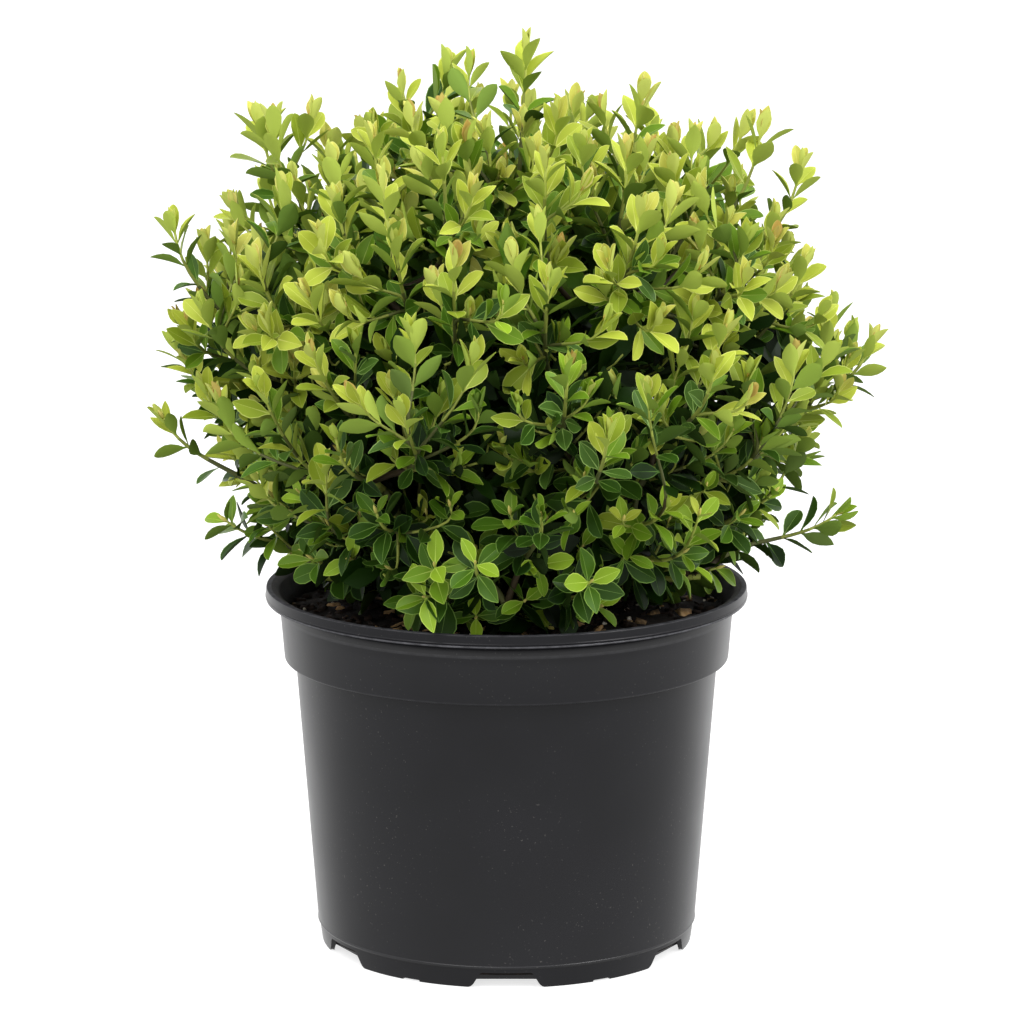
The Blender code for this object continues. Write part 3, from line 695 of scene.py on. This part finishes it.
def barked_limb(name, points, radii, ridge, slot_nodes, bark):
    """A limb with bark in relief: ridges that run along it, deeper towards a flared foot."""
    turns = np.arange(BARK_SIDES) * (math.tau / BARK_SIDES)
    rough, travelled = [], 0.0
    for i, (place, radius) in enumerate(zip(points, radii)):
        if i:
            travelled += (Vector(points[i]) - Vector(points[i - 1])).length
        ring = []
        for a in turns:
            around = Vector((math.cos(a), math.sin(a), 0)) * (radius / SEAM_WIDTH)
            seam = noise.fractal(around + UP * (travelled / SEAM_LENGTH), *SEAM_FRACTAL)
            ring.append(radius * (1 + ridge * seam))
        rough.append(ring)
    verts, quads, ends = tube(points, rough, BARK_SIDES)
    make_piece(name, verts, [quads, ends], [[0] * len(quads), [0] * 2], [bark], slot_nodes)


def stem_point_at(height):
    """A point of the stem's centre line, which is upright at its foot and then leans."""
    lean = STEM_LEAN * max(height - STEM_HEIGHTS[1], 0.0)
    return Vector((lean, -lean * 0.5, SOIL_TOP + CLEAR + height))


def curve_points(start, first, second, end, count):
    """Points along a cubic curve."""
    t = np.linspace(0.0, 1.0, count)[:, None]
    s = 1 - t
    start, first, second, end = (np.array(p, float) for p in (start, first, second, end))
    return s**3 * start + 3 * s * s * t * first + 3 * s * t * t * second + t**3 * end


def make_wood(masses):
    """The stem and the boughs, in bark."""
    # Young holly bark: smooth and grey-brown, with pale breathing pores and fine seams.
    bark = blotched("young_holly_bark", "#3b3126", "#6d6150", 3.5, 0.9, 0.6, 0.85)
    heights = np.linspace(0.0, STEM_HEIGHTS[-1], 30)
    radii = np.interp(heights, STEM_HEIGHTS, STEM_RADII)
    barked_limb("stem_wood", [stem_point_at(h) for h in heights], radii, STEM_RIDGE,
                ["stem"], bark)
    for mass in masses:
        start = stem_point_at(mass.ring.fork_height)
        end = CROWN_ROOT + mass.axis * (mass.ring.bough_length - CLEAR)
        control = end - mass.axis * (end - start).length * 0.45
        first, second = start.lerp(control, 2 / 3), end.lerp(control, 2 / 3)
        points = curve_points(start, first, second, end, 26)
        radii = np.linspace(mass.ring.bough_radius, BOUGH_TIP_RADIUS, len(points))
        barked_limb("wood_" + mass.name, points, radii, BOUGH_RIDGE, ["bough_" + mass.name], bark)


# Crown.


def direction(azimuth, elevation):
    """A unit vector. Azimuth 0 is the front, and it turns towards the right."""
    across = math.cos(elevation)
    return Vector((across * math.sin(azimuth), -across * math.cos(azimuth), math.sin(elevation)))


def crown_reach(elevation):
    """How far the dome's surface lies from the crown's root."""
    across = abs(math.cos(elevation)) / CROWN_HALF_WIDTH
    up = abs(math.sin(elevation)) / CROWN_HEIGHT
    dome = (across**CROWN_SQUARENESS + up**CROWN_SQUARENESS) ** (-1 / CROWN_SQUARENESS)
    return min(dome, LOW_REACH + max(elevation - LOW_ANGLE, 0.0) * LOW_OPENING)


def underside(radius):
    """The lowest height that foliage takes at a distance from the pot's axis."""
    if radius < COLLAR_FOOT_RADIUS - WALL - 0.006:
        return SOIL_TOP + RIM_CLEARANCE
    return POT_HEIGHT + RIM_CLEARANCE + max(radius - RIM_RADIUS, 0.0) * UNDERSIDE_SLOPE


def make_masses():
    return [
        Mass(f"{ring.name}_{i + 1}", ring,
             direction(ring.turn + math.tau * i / ring.count, ring.elevation))
        for ring in RINGS for i in range(ring.count)
    ]


def depth_in_space(offset, mass, masses):
    """How far a point, given from the crown's root, lies inside the planes round its mass."""
    return min(offset.dot(mass.axis - other.axis) / (mass.axis - other.axis).length
               for other in masses if other is not mass)


def owner_of(unit, masses):
    return max(masses, key=lambda m: m.axis.dot(unit))


def main_tips(masses):
    """(mass, tip) of each main shoot, by the draws of the part's source."""
    shoots = []
    for place in LEADERS:
        unit = (Vector(place) - CROWN_ROOT).normalized()
        shoots.append((owner_of(unit, masses), Vector(place)))
    rng = random.Random(SHOOT_SEED)
    while len(shoots) < SHOOT_COUNT:
        best, widest = None, 0.0
        for _ in range(SHOOT_TRIES):
            unit = direction(rng.uniform(0.0, math.tau), math.asin(rng.random()))
            mass = owner_of(unit, masses)
            if depth_in_space(unit, mass, masses) < math.sin(EDGE_CLEARANCE):
                continue
            reach = crown_reach(math.asin(unit.z)) * rng.uniform(REACH_LOW, REACH_HIGH)
            tip = CROWN_ROOT + unit * reach
            gap = min((other - tip).length for _, other in shoots)
            lowest = underside(math.hypot(tip.x, tip.y)) + CAD_LEAF_WIDTH / 2
            if gap > widest and tip.z > lowest:
                best, widest = (mass, tip), gap
        shoots.append(best)
    return shoots


def lowest_height(tip):
    """The lowest height that a shoot ends at: the mix shows on both sides of the front."""
    off_front = abs(math.atan2(tip.x, -tip.y))
    above = float(np.interp(off_front, LOW_EDGE_ANGLES, LOW_EDGE_HEIGHTS))
    return underside(math.hypot(tip.x, tip.y)) + above


def on_flank(tip):
    """A tip drawn in or let out to the crown's flank at its height."""
    share = float(np.interp(tip.z, FLANK_HEIGHTS, FLANK_SHARES))
    drift = float(np.interp(tip.z, FLANK_HEIGHTS, FLANK_DRIFTS))
    sunk = TOP_SUNK * max(tip.z - TOP_FROM, 0.0)
    return Vector((tip.x * share + drift, tip.y * share, tip.z - sunk))


def leafed_tips(masses):
    """(mass, tip) of each main shoot where its leaves end: a leader by its own shift, the
    others on the crown's flank, and none too low."""
    placed = []
    for i, (mass, tip) in enumerate(main_tips(masses)):
        if i < len(LEADER_SHIFTS):
            right, up = LEADER_SHIFTS[i]
            tip = tip + Vector((right, 0.0, up)) * MM
        else:
            tip = on_flank(tip)
        placed.append((mass, Vector((tip.x, tip.y, max(tip.z, lowest_height(tip))))))
    return placed


def more_tips(masses, taken, leading, count, seed, reaches):
    """(mass, tip) of finer shoots: the leading ones, then each in the widest gap of a few
    tries."""
    rng = random.Random(seed)
    places = [tuple(tip) for tip in taken] + list(leading)
    shoots = [(owner_of((Vector(tip) - CROWN_ROOT).normalized(), masses), Vector(tip))
              for tip in leading]
    while len(shoots) < count:
        best, widest = None, 0.0
        crowd = np.array(places)
        for _ in range(SIDE_TRIES):
            unit = direction(rng.uniform(0.0, math.tau), math.asin(rng.random()))
            reach = crown_reach(math.asin(unit.z)) * rng.uniform(*reaches)
            tip = on_flank(CROWN_ROOT + unit * reach)
            if tip.z < lowest_height(tip):
                continue
            if rng.random() > np.interp(tip.z, KEPT_HEIGHTS, KEPT_SHARES):
                continue
            gap = np.min(np.linalg.norm(crowd - np.array(tip), axis=1))
            if gap > widest:
                best, widest = tip, gap
        unit = (best - CROWN_ROOT).normalized()
        shoots.append((owner_of(unit, masses), best))
        places.append(tuple(best))
    return shoots


class Limb:
    """A line of points with what a finer shoot needs to leave it."""

    def __init__(self, points, root_radius, tip_radius):
        self.points = np.asarray(points, float)
        steps = np.linalg.norm(np.diff(self.points, axis=0), axis=1)
        self.from_tip = np.concatenate(([0.0], np.cumsum(steps[::-1])))[::-1]
        self.length = self.from_tip[0]
        self.along = np.gradient(self.points, axis=0)
        self.along /= np.linalg.norm(self.along, axis=1)[:, None]
        self.radii = np.linspace(root_radius, tip_radius, len(self.points))
        self.lines = np.column_stack((self.points, self.along, self.radii))[::-1].T

    def at(self, distance):
        """The point, heading and radius at a distance below the tip."""
        found = [float(np.interp(distance, self.from_tip[::-1], line)) for line in self.lines]
        return Vector(found[:3]), Vector(found[3:6]).normalized(), found[6]


def uplift(height):
    """How far shoots at a height turn up to the light: little near the rim, then steeply."""
    return float(np.interp(height, UPLIFT_HEIGHTS, UPLIFT_SHARES))


def tip_heading(tip, rng, wander):
    """Where a shoot's end points: outwards, turned up to the light, and a little astray."""
    astray = Vector([rng.gauss(0, 1) for _ in range(3)]) * wander
    share = uplift(tip.z)
    return ((tip - CROWN_ROOT).normalized() * (1 - share) + UP * share + astray * 0.6).normalized()


def main_limbs(masses, tips, rng):
    """Each mass's stem, and a limb from it to each main tip by the rule of the source."""
    stems, limbs = {}, []
    for mass in masses:
        root = CROWN_ROOT + mass.axis * mass.ring.bough_length
        reach = crown_reach(math.asin(mass.axis.z))
        length = (reach - mass.ring.bough_length) * MASS_STEM_SHARE
        line = [root + mass.axis * (length * i / 8) for i in range(9)]
        stems[mass.name] = (root, length, Limb(line, BOUGH_TIP_RADIUS, MASS_STEM_TIP_RADIUS))
    for mass, tip in tips:
        root, length, _ = stems[mass.name]
        offset = tip - root
        forward = offset.dot(mass.axis)
        sideways = (offset - mass.axis * forward).length
        leaves_at = forward - sideways / math.tan(BRANCH_ANGLE)
        leaves_at = min(max(leaves_at, CORE_INSET), length * LAST_BRANCH_SHARE)
        start = root + mass.axis * leaves_at
        knee = CROWN_ROOT + (tip - CROWN_ROOT) * KNEE_SHARE
        heading = tip_heading(tip, rng, MAIN_WANDER)
        end = tip - heading * TIP_BEYOND_STEM
        line = curve_points(start, knee, end - heading * (end - knee).length * 0.6, end, 16)
        limbs.append((mass, Limb(line, *MAIN_RADII)))
    return stems, limbs


def side_limbs(tips, parents, rng, wander, radii):
    """A finer limb to each tip, from the place on its mass's limbs that suits it best."""
    limbs = []
    for mass, tip in tips:
        heading = tip_heading(tip, rng, wander)
        end = tip - heading * TIP_BEYOND_STEM
        points, along = parents[mass.name]
        reach = np.array(end) - points
        far = np.linalg.norm(reach, axis=1)
        cosine = np.einsum("ij,ij->i", reach, along) / np.maximum(far, 1e-6)
        straight = reach @ np.array(heading) / np.maximum(far, 1e-6)
        best = np.argmin(far * (1 + ANGLE_COST * (1 - cosine) + BEND_COST * (1 - straight)))
        start, leaving = Vector(points[best]), Vector(along[best])
        length = (end - start).length
        line = curve_points(start, start + leaving * length * 0.3, end - heading * length * 0.4,
                            end, 9)
        limbs.append((mass, Limb(line, *radii)))
    return limbs


def lines_by_mass(masses, stems, limbs):
    """The points and headings that finer limbs may leave from, for each mass."""
    found = {}
    for mass in masses:
        own = [stems[mass.name][2]] + [limb for owner, limb in limbs if owner is mass]
        points = np.concatenate([limb.points[1:-2] for limb in own])
        along = np.concatenate([limb.along[1:-2] for limb in own])
        found[mass.name] = (points, along)
    return found


# Leaves.

# Rows along the blade, and its half-width at each, as shares of its length and half-width.
LEAF_ROWS = (0.0, 0.12, 0.28, 0.48, 0.68, 0.85, 0.955, 1.0)
ROUNDED = (0.10, 0.20, 0.60, 0.92, 1.0, 0.78, 0.40, 0.08)
POINTED = (0.10, 0.24, 0.70, 0.99, 0.90, 0.56, 0.23, 0.04)
PLAIN_ROWS = (0.0, 0.30, 0.68, 1.0)
PLAIN_OUTLINE = (0.12, 0.66, 0.98, 0.16)
RIM_SHARE = 0.085
# The midrib is a wedge: wide where the veins leave it near the stalk, and fine at the tip.
RIB_ROOT, RIB_TIP = 0.10, 0.012
LEAF_THICKNESS = 0.035


def leaf_shape(outline, cup, bend, twist):
    """A closed leaf: (across, along, rise by width, rise by length) of its points, then its
    faces and which of its three surfaces each face is."""
    plain = outline is PLAIN_OUTLINE
    rows = PLAIN_ROWS if plain else LEAF_ROWS
    parts_across = (BLADE, BLADE) if plain else (EDGE, BLADE, EDGE, BLADE, EDGE)
    points = []
    for t, half in zip(rows, outline):
        rim = max(half - RIM_SHARE, half * 0.5)
        rib = min(RIB_TIP + (RIB_ROOT - RIB_TIP) * (1 - t) ** 3, half * 0.35)
        top = (-half, 0.0, half) if plain else (-half, -rim, -rib, rib, rim, half)
        for x in (*top, half, 0.0, -half):
            rise = abs(x) * cup + x * math.sin(twist * t) / 2
            points.append([x * math.cos(twist * t), t, rise, bend * t * t])
        points[-2][2] -= LEAF_THICKNESS
    # The two strips of the underside lie between the last three points of each row.
    row = len(parts_across) + 4
    strips = [*enumerate(parts_across), (row - 3, UNDER), (row - 2, UNDER)]
    faces = [(low + i, low + i + 1, low + row + i + 1, low + row + i)
             for low in range(0, row * (len(rows) - 1), row) for i, _ in strips]
    parts = [part for _, part in strips] * (len(rows) - 1)
    return np.array(points).T, np.array(faces), np.array(parts)


# Outline, cup, bend and twist. Young leaves curl in round the bud, grown ones are cupped or
# turn back at the tip.
YOUNG_FORMS = ((POINTED, 0.30, 0.12, 0.0), (ROUNDED, 0.26, 0.08, 0.15),
               (POINTED, 0.34, 0.02, -0.15))
GROWN_FORMS = ((ROUNDED, 0.16, -0.05, 0.10), (ROUNDED, 0.24, -0.12, -0.20),
               (ROUNDED, 0.10, -0.16, 0.30), (ROUNDED, 0.28, 0.04, -0.05),
               (POINTED, 0.18, -0.06, -0.25), (POINTED, 0.26, -0.14, 0.15),
               (POINTED, 0.12, 0.06, 0.10), (POINTED, 0.20, -0.22, -0.10))
PLAIN_FORMS = ((PLAIN_OUTLINE, 0.10, -0.08, 0.1), (PLAIN_OUTLINE, 0.16, 0.04, -0.2))
SHAPES = [leaf_shape(*form) for form in YOUNG_FORMS + GROWN_FORMS + PLAIN_FORMS]
YOUNG = range(len(YOUNG_FORMS))
GROWN = range(YOUNG.stop, YOUNG.stop + len(GROWN_FORMS))
PLAIN = range(GROWN.stop, len(SHAPES))


class LeafPair(NamedTuple):
    """One pair of leaves: its distance below the shoot's tip, its angle and its size."""

    below: float
    angle: float
    size: float


PAIRS = [
    LeafPair(below * MM, math.radians(angle), size)
    for below, angle, size in (
        (0.5, 9, 0.60), (4.0, 21, 0.82), (10, 32, 0.96), (18, 40, 1.04), (27, 47, 1.02),
        (37, 52, 0.98), (48, 56, 0.94), (60, 60, 0.90), (73, 63, 0.86))
]
LEAF_LENGTH = 22.0 * MM
LEAF_ANGLE_MOST = math.radians(76)
YOUNG_PAIRS = 2
DETAILED_PAIRS = 8

# Short shoots near the rim open flat, like a rosette. Higher and longer ones hold their
# leaves up.
SPREAD_HEIGHTS = (0.250, 0.325)
LONG_SHOOT_RADII = (0.160, 0.185)
# Leaves of the long ones twist on their stalks, each its own way, the more the lower down.
LAX_HEIGHTS = (0.320, 0.420)
SPREAD_ANGLE = math.radians(50)
ROSETTE_SIZE = 0.84
# How much leaves differ: those missing, those a step off their tone, and shoots that are none,
# one or two steps darker. Then spreads of their turn round the shoot and of their angle to it,
# ranges of the gaps between pairs, of vigour and of length, and width as a share of length.
MISSING, OFF_TONE = 0.10, 0.25
DARKER_WEIGHTS = (70, 22, 8)
TURN_BLUR, ANGLE_BLUR = 0.16, 0.09
SHOOT_STRETCHES, PAIR_STRETCHES, VIGOURS = (0.85, 1.25), (0.93, 1.07), (0.88, 1.10)
LENGTHS, WIDTHS = (0.90, 1.08), (0.40, 0.50)
# The same for their roll: that of the first pair, of the others, and what the lax ones add.
FIRST_ROLL, ROLL, LAX_ROLL = 0.12, 0.36, 0.5


class Ladder(NamedTuple):
    """The tones of shoots above a height: those that the youngest leaves are drawn from, with
    their weights, then the tone of each older pair, from the tip down."""

    starts: float
    youngest: tuple
    weights: tuple
    older: tuple


# A few shoots open paler or with a bronze blush, more of them on top. Low down, some rest.
# The tones also pale with height and darken low down and down each shoot, partly as real
# new growth and partly as painted light and shade.
LADDERS = (
    Ladder(0.0, ("fresh_green", "leaf_green", "grown_green"), (48, 28, 24),
           ("leaf_green", "grown_green", "dark_green", "dark_green", "deep_green", "deep_green",
            "painted_shade_green", "painted_shade_green")),
    Ladder(0.301, ("yellow_green", "lime", "fresh_green"), (44, 28, 28),
           ("fresh_green", "soft_green", "leaf_green", "dark_green", "blue_green", "deep_green",
            "deep_green", "painted_shade_green", "painted_shade_green")),
    Ladder(0.366, ("lime", "yellow_green", "bronze"), (62, 26, 12),
           ("yellow_green", "yellow_green", "soft_green", "leaf_green", "blue_green",
            "dark_green", "dark_green", "deep_green", "deep_green")),
    Ladder(0.424, ("lime", "cream", "bronze"), (50, 33, 17),
           ("lime", "yellow_green", "yellow_green", "soft_green", "leaf_green", "grown_green",
            "dark_green", "dark_green", "deep_green")),
)
# Inside the crown, dark tones as painted shade: near its lit top, and below.
INNER_LADDERS = (
    3 * ("leaf_green",) + 2 * ("grown_green",) + 2 * ("dark_green",),
    4 * ("deep_green",) + 3 * ("painted_shade_green",),
)
INNER_LIT_FROM = 0.385
LADDER_BLUR = 0.018
# Painted light: how much paler the sides are drawn, as a height, by distance to the left
# and to the right.
SIDE_WIDTHS = (0.0, 0.130, 0.190)
SIDE_PAINTED_LIGHT = ((0.0, 0.058, 0.070), (0.0, 0.030, 0.070))


class Growth:
    """What grows in one mass: its leaves, by shape and tone, and its twigs and buds."""

    def __init__(self):
        self.leaves, self.twigs, self.buds = [], [], []


def leaf_frame(heading, facing):
    """Across, along and up of a leaf that points one way and faces another."""
    along = heading.normalized()
    across = along.cross(facing).normalized()
    return across, along, across.cross(along)


def fits(corner):
    """Whether a leaf's corner is clear of the mix and of the rim."""
    r = math.hypot(corner.x, corner.y)
    if r < RIM_INNER_RADIUS - 5 * MM:
        return corner.z > SOIL_TOP + 0.5 * MM
    if r < RIM_RADIUS + 2.5 * MM:
        return corner.z > POT_HEIGHT + 1.0 * MM
    return corner.z > POT_HEIGHT - 14 * MM


def tone_ladder(tip, rng):
    """The tones that a shoot takes, by its height, with a blurred border. Painted light: the sides
    are drawn paler from lower up, as if lit more than the front, and more so on the left."""
    painted_light_lift = float(np.interp(abs(tip.x), SIDE_WIDTHS, SIDE_PAINTED_LIGHT[tip.x > 0]))
    height = tip.z + rng.gauss(0, LADDER_BLUR) + painted_light_lift
    ladder = [ladder for ladder in LADDERS if height > ladder.starts][-1]
    return (rng.choices(ladder.youngest, ladder.weights)[0], *ladder.older)


def leaf_out(growth, limb, rng, ladder, first=0, last=len(PAIRS), vigour=1.0, plain=False):
    """Sets crossed pairs of leaves down a limb, from its tip."""
    roll = rng.uniform(0, math.pi)
    stretch = rng.uniform(*SHOOT_STRETCHES)
    end = limb.points[-1]
    opened = float(np.interp(end[2], SPREAD_HEIGHTS, (1.0, 0.0)))
    long = float(np.interp(math.hypot(end[0], end[1]), LONG_SHOOT_RADII, (0.0, 1.0)))
    lax = long * float(np.interp(end[2], LAX_HEIGHTS, (1.0, 0.0)))
    opened *= 1.0 - 0.85 * long
    darker = rng.choices((0, 1, 2), DARKER_WEIGHTS)[0]
    for n in range(first, last):
        pair = PAIRS[n]
        below = pair.below * stretch * rng.uniform(*PAIR_STRETCHES)
        if below > limb.length - 3 * MM:
            break
        node, along, radius = limb.at(below)
        side = along.orthogonal().normalized()
        for half in range(2):
            if n > 3 and rng.random() < MISSING:
                continue
            turn = roll + n * math.pi / 2 + half * math.pi + rng.gauss(0, TURN_BLUR)
            outwards = Matrix.Rotation(turn, 3, along) @ side
            spread = opened * SPREAD_ANGLE * (1.0 if n < 3 else 0.4)
            angle = min(pair.angle + spread, LEAF_ANGLE_MOST) + rng.gauss(0, ANGLE_BLUR)
            heading = along * math.cos(angle) + outwards * math.sin(angle)
            facing = along * math.sin(angle) - outwards * math.cos(angle)
            if n > 1:
                facing += UP * 0.30 + Vector((node.x, node.y, 0.0)).normalized() * (0.6 * opened)
            across, ahead, rise = leaf_frame(heading, facing)
            blur = FIRST_ROLL if n < 1 else ROLL + LAX_ROLL * lax
            sway = Matrix.Rotation(rng.gauss(0, blur), 3, ahead)
            across, rise = sway @ across, sway @ rise
            size = max(pair.size, opened * ROSETTE_SIZE)
            length = LEAF_LENGTH * size * vigour * rng.uniform(*LENGTHS) * (1 - 0.08 * long)
            width = length * (rng.uniform(*WIDTHS) - (0.03 if n < 2 else 0.0) + 0.06 * opened)
            root = node + outwards * radius * 0.5
            widest, edge = root + ahead * length * 0.6, across * width / 2
            if not all(map(fits, (root + ahead * length, widest + edge, widest - edge))):
                continue
            step = min(n + (darker if n > 0 else 0), len(ladder) - 1)
            if n > 1 and rng.random() < OFF_TONE:
                step = min(max(step + rng.choice((-1, 1)), 1), len(ladder) - 1)
            folded = n < YOUNG_PAIRS and opened < 0.5
            kinds = PLAIN if plain or n >= DETAILED_PAIRS else YOUNG if folded else GROWN
            growth.leaves.append((rng.choice(kinds), TONES.index(ladder[step]), root, edge,
                                  ahead * length, rise * width, rise * length))


def leafed(name, leaves, finishes, nodes):
    """Joins a mass's leaves into one piece."""
    points, faces, parts, start = [], [], [], 0
    for kind, (shape, shape_faces, shape_parts) in enumerate(SHAPES):
        own = [leaf for leaf in leaves if leaf[0] == kind]
        if not own:
            continue
        tones = np.array([leaf[1] for leaf in own])
        root, across, along, rise, arch = (
            np.array([leaf[i] for leaf in own])[:, None, :] for i in range(2, 7))
        x, y, cup, bend = (row[None, :, None] for row in shape)
        set_out = root + x * across + y * along + cup * rise + bend * arch
        offsets = start + np.arange(len(own)) * len(x[0])
        points.append(set_out.reshape(-1, 3))
        faces.append((offsets[:, None, None] + shape_faces[None]).reshape(-1, 4))
        parts.append((tones[:, None] * len(SURFACES) + shape_parts[None]).ravel())
        start += len(points[-1])
    make_piece(name, np.concatenate(points), faces, parts, finishes, nodes)


def twigged(name, limbs, finishes, nodes):
    """Joins a mass's twigs into one piece. Their skin goes from green to bark down the limb,
    and darker, partly as painted shade.
    """
    points, faces, skins, start = [], [], [], 0
    for limb, sides in limbs:
        made, quads, ends = tube(limb.points, limb.radii, sides)
        age_and_shade = np.searchsorted(TWIG_AGE_AND_SHADE_STEPS, limb.from_tip[1:])
        points.append(made)
        faces.extend((quads + start, ends + start))
        skins.extend((np.repeat(age_and_shade, sides), age_and_shade[[0, -1]]))
        start += len(made)
    make_piece(name, np.concatenate(points), faces, skins, finishes, nodes)


# Share of a bud's length, and its width there as a share of the widest.
BUD_RINGS = ((0.0, 0.35), (0.22, 0.95), (0.50, 1.0), (0.78, 0.62), (1.0, 0.10))
BUD_SIDES = 6
BUD_LENGTHS = (4.5, 7.5)
BUD_BROAD, BUD_FLAT = 0.19, 0.13
BRONZE_BUDS_FROM, BRONZE_BUDS = 0.34, 0.50


def budded(name, buds, finishes):
    """Joins a mass's buds: small spindles, a little flattened, at the ends of its shoots."""
    points, faces, tones = [], [], []
    turns = np.arange(BUD_SIDES) * (math.tau / BUD_SIDES)
    quads, ends = ring_quads(len(BUD_RINGS), BUD_SIDES), ring_ends(len(BUD_RINGS), BUD_SIDES)
    for tip, heading, side, length, tone in buds:
        other = heading.cross(side)
        for group in (quads, ends):
            faces.append(group + len(points))
            tones.append([tone * len(SURFACES)] * len(group))
        for t, wide in BUD_RINGS:
            for a in turns:
                round_it = side * math.cos(a) * BUD_BROAD + other * math.sin(a) * BUD_FLAT
                points.append(tip + heading * (t * length) + round_it * (length * wide))
    make_piece(name, points, faces, tones, finishes)


def make_crown(masses):
    """Grows the crown and joins it, kind by kind, into three pieces for each mass."""
    tips = leafed_tips(masses)
    rng = random.Random(SIDE_SEED)
    stems, mains = main_limbs(masses, tips, rng)
    parents = lines_by_mass(masses, stems, mains)
    side_tips = more_tips(masses, [tip for _, tip in tips], LESSER_LEADERS, SIDE_SHOOTS,
                          SIDE_SEED, SIDE_REACH)
    sides = side_limbs(side_tips, parents, rng, SIDE_WANDER, SIDE_RADII)
    inner_tips = more_tips(masses, [CROWN_ROOT], (), INNER_SPRAYS, INNER_SEED, INNER_REACH)
    inners = side_limbs(inner_tips, parents, rng, INNER_WANDER, INNER_RADII)
    growths = {mass.name: Growth() for mass in masses}
    for mass in masses:
        growths[mass.name].twigs.append((stems[mass.name][2], STEM_SIDES))
    for limbs, sides_count in ((mains, MAIN_SIDES), (sides, SIDE_SIDES)):
        for mass, limb in limbs:
            growth = growths[mass.name]
            growth.twigs.append((limb, sides_count))
            tip, heading, _ = limb.at(0.0)
            ladder = tone_ladder(tip, rng)
            leaf_out(growth, limb, rng, ladder, vigour=rng.uniform(*VIGOURS))
            bronzed = tip.z > BRONZE_BUDS_FROM and rng.random() < BRONZE_BUDS
            side = heading.orthogonal().normalized()
            growth.buds.append((tip, heading, side, rng.uniform(*BUD_LENGTHS) * MM,
                                TONES.index("bronze" if bronzed else "cream")))
    for mass, limb in inners:
        growth = growths[mass.name]
        growth.twigs.append((limb, INNER_SIDES))
        ladder = INNER_LADDERS[0 if limb.points[-1][2] > INNER_LIT_FROM else 1]
        leaf_out(growth, limb, rng, ladder, first=2, last=6, vigour=INNER_LEAF_SIZE, plain=True)
    leaves, skins = leaf_finishes(), twig_finishes()
    for mass in masses:
        growth = growths[mass.name]
        slot, node = "foliage_" + mass.ring.name, "foliage_" + mass.name
        leafed("leaves_" + mass.name, growth.leaves, leaves, [node])
        twigged("twigs_" + mass.name, growth.twigs, skins, [node])
        budded("buds_" + mass.name, growth.buds, leaves)


# Studio.

LIGHT_BELOW, LIGHT_ABOVE = 0.60, 1.28
BACK_WALL = 0.50
FLOOR_WIDTH = 28.0
# The photograph's camera, fitted to the pot's ellipses. The lens is in mm.
FOCAL_LENGTH, SENSOR_WIDTH = 151.9, 36.0
CAMERA_PLACE = (0.0032, -2.462, 0.742)
CAMERA_TILT = math.radians(78.79)


def soft_box(name, place, target, size, watts):
    light = bpy.data.lights.new(name, "AREA")
    light.shape = "SQUARE"
    light.size = size
    light.energy = watts
    obj = placed(name, light)
    obj.location = place
    obj.rotation_euler = (Vector(target) - obj.location).to_track_quat("-Z", "Y").to_euler()


def make_studio():
    """A white room with two soft boxes, a plain pale floor, and the photograph's camera."""
    scene = bpy.context.scene
    scene.view_settings.view_transform = "Standard"
    world = bpy.data.worlds.new("white_room")
    world.use_nodes = True
    tree = world.node_tree
    tree.nodes["Background"].inputs["Color"].default_value = (1.0, 1.0, 1.0, 1.0)
    # Light from above is full, and from below it is weak, as over a table in a white tent.
    facing = add(tree, "TexCoord").outputs["Generated"]
    _, depth, height = add(tree, "SeparateXYZ", {"Vector": facing}).outputs
    share = add(tree, "MapRange", {"Value": height, "From Min": -0.52, "From Max": 0.02,
                "To Min": LIGHT_BELOW, "To Max": LIGHT_ABOVE}, interpolation_type="SMOOTHSTEP")
    # The wall behind the plant is lit on its own, brighter than the room.
    behind = add(tree, "MapRange", {"Value": depth, "From Min": 0.35, "From Max": 0.95,
                 "To Min": 0.0, "To Max": BACK_WALL}, interpolation_type="SMOOTHSTEP")
    whole = add(tree, "Math", {0: share, 1: behind})
    tree.links.new(whole.outputs[0], tree.nodes["Background"].inputs["Strength"])
    scene.world = world
    soft_box("left_soft_box", (-1.0, -1.6, 2.6), target=(0, 0, 0.34), size=1.6, watts=46)
    soft_box("right_soft_box", (1.7, -1.0, 2.0), target=(0, 0, 0.32), size=1.2, watts=40)
    half = FLOOR_WIDTH / 2
    mesh = bpy.data.meshes.new("floor")
    mesh.from_pydata([(-half, -half, 0), (half, -half, 0), (half, half, 0), (-half, half, 0)],
                     [], [(0, 1, 2, 3)])
    paper, tree, shader = finish("white_paper", "#a8a8a8", 0.9, 1.5, 0.2)
    shader.inputs["Emission Color"].default_value = (1.0, 1.0, 1.0, 1.0)
    shader.inputs["Emission Strength"].default_value = 0.72
    mesh.materials.append(paper)
    floor = placed("floor", mesh)
    # The floor takes shadows, but the light that it would throw up is left to the room.
    floor.visible_diffuse = False
    floor.visible_glossy = False
    lens = bpy.data.cameras.new("camera")
    lens.lens = FOCAL_LENGTH
    lens.sensor_width = SENSOR_WIDTH
    camera = placed("camera", lens)
    camera.location = CAMERA_PLACE
    camera.rotation_euler = (CAMERA_TILT, 0.0, 0.0)
    scene.camera = camera


masses = make_masses()
make_studio()
make_pot()
make_potting_mix()
make_chips()
make_wood(masses)
make_crown(masses)
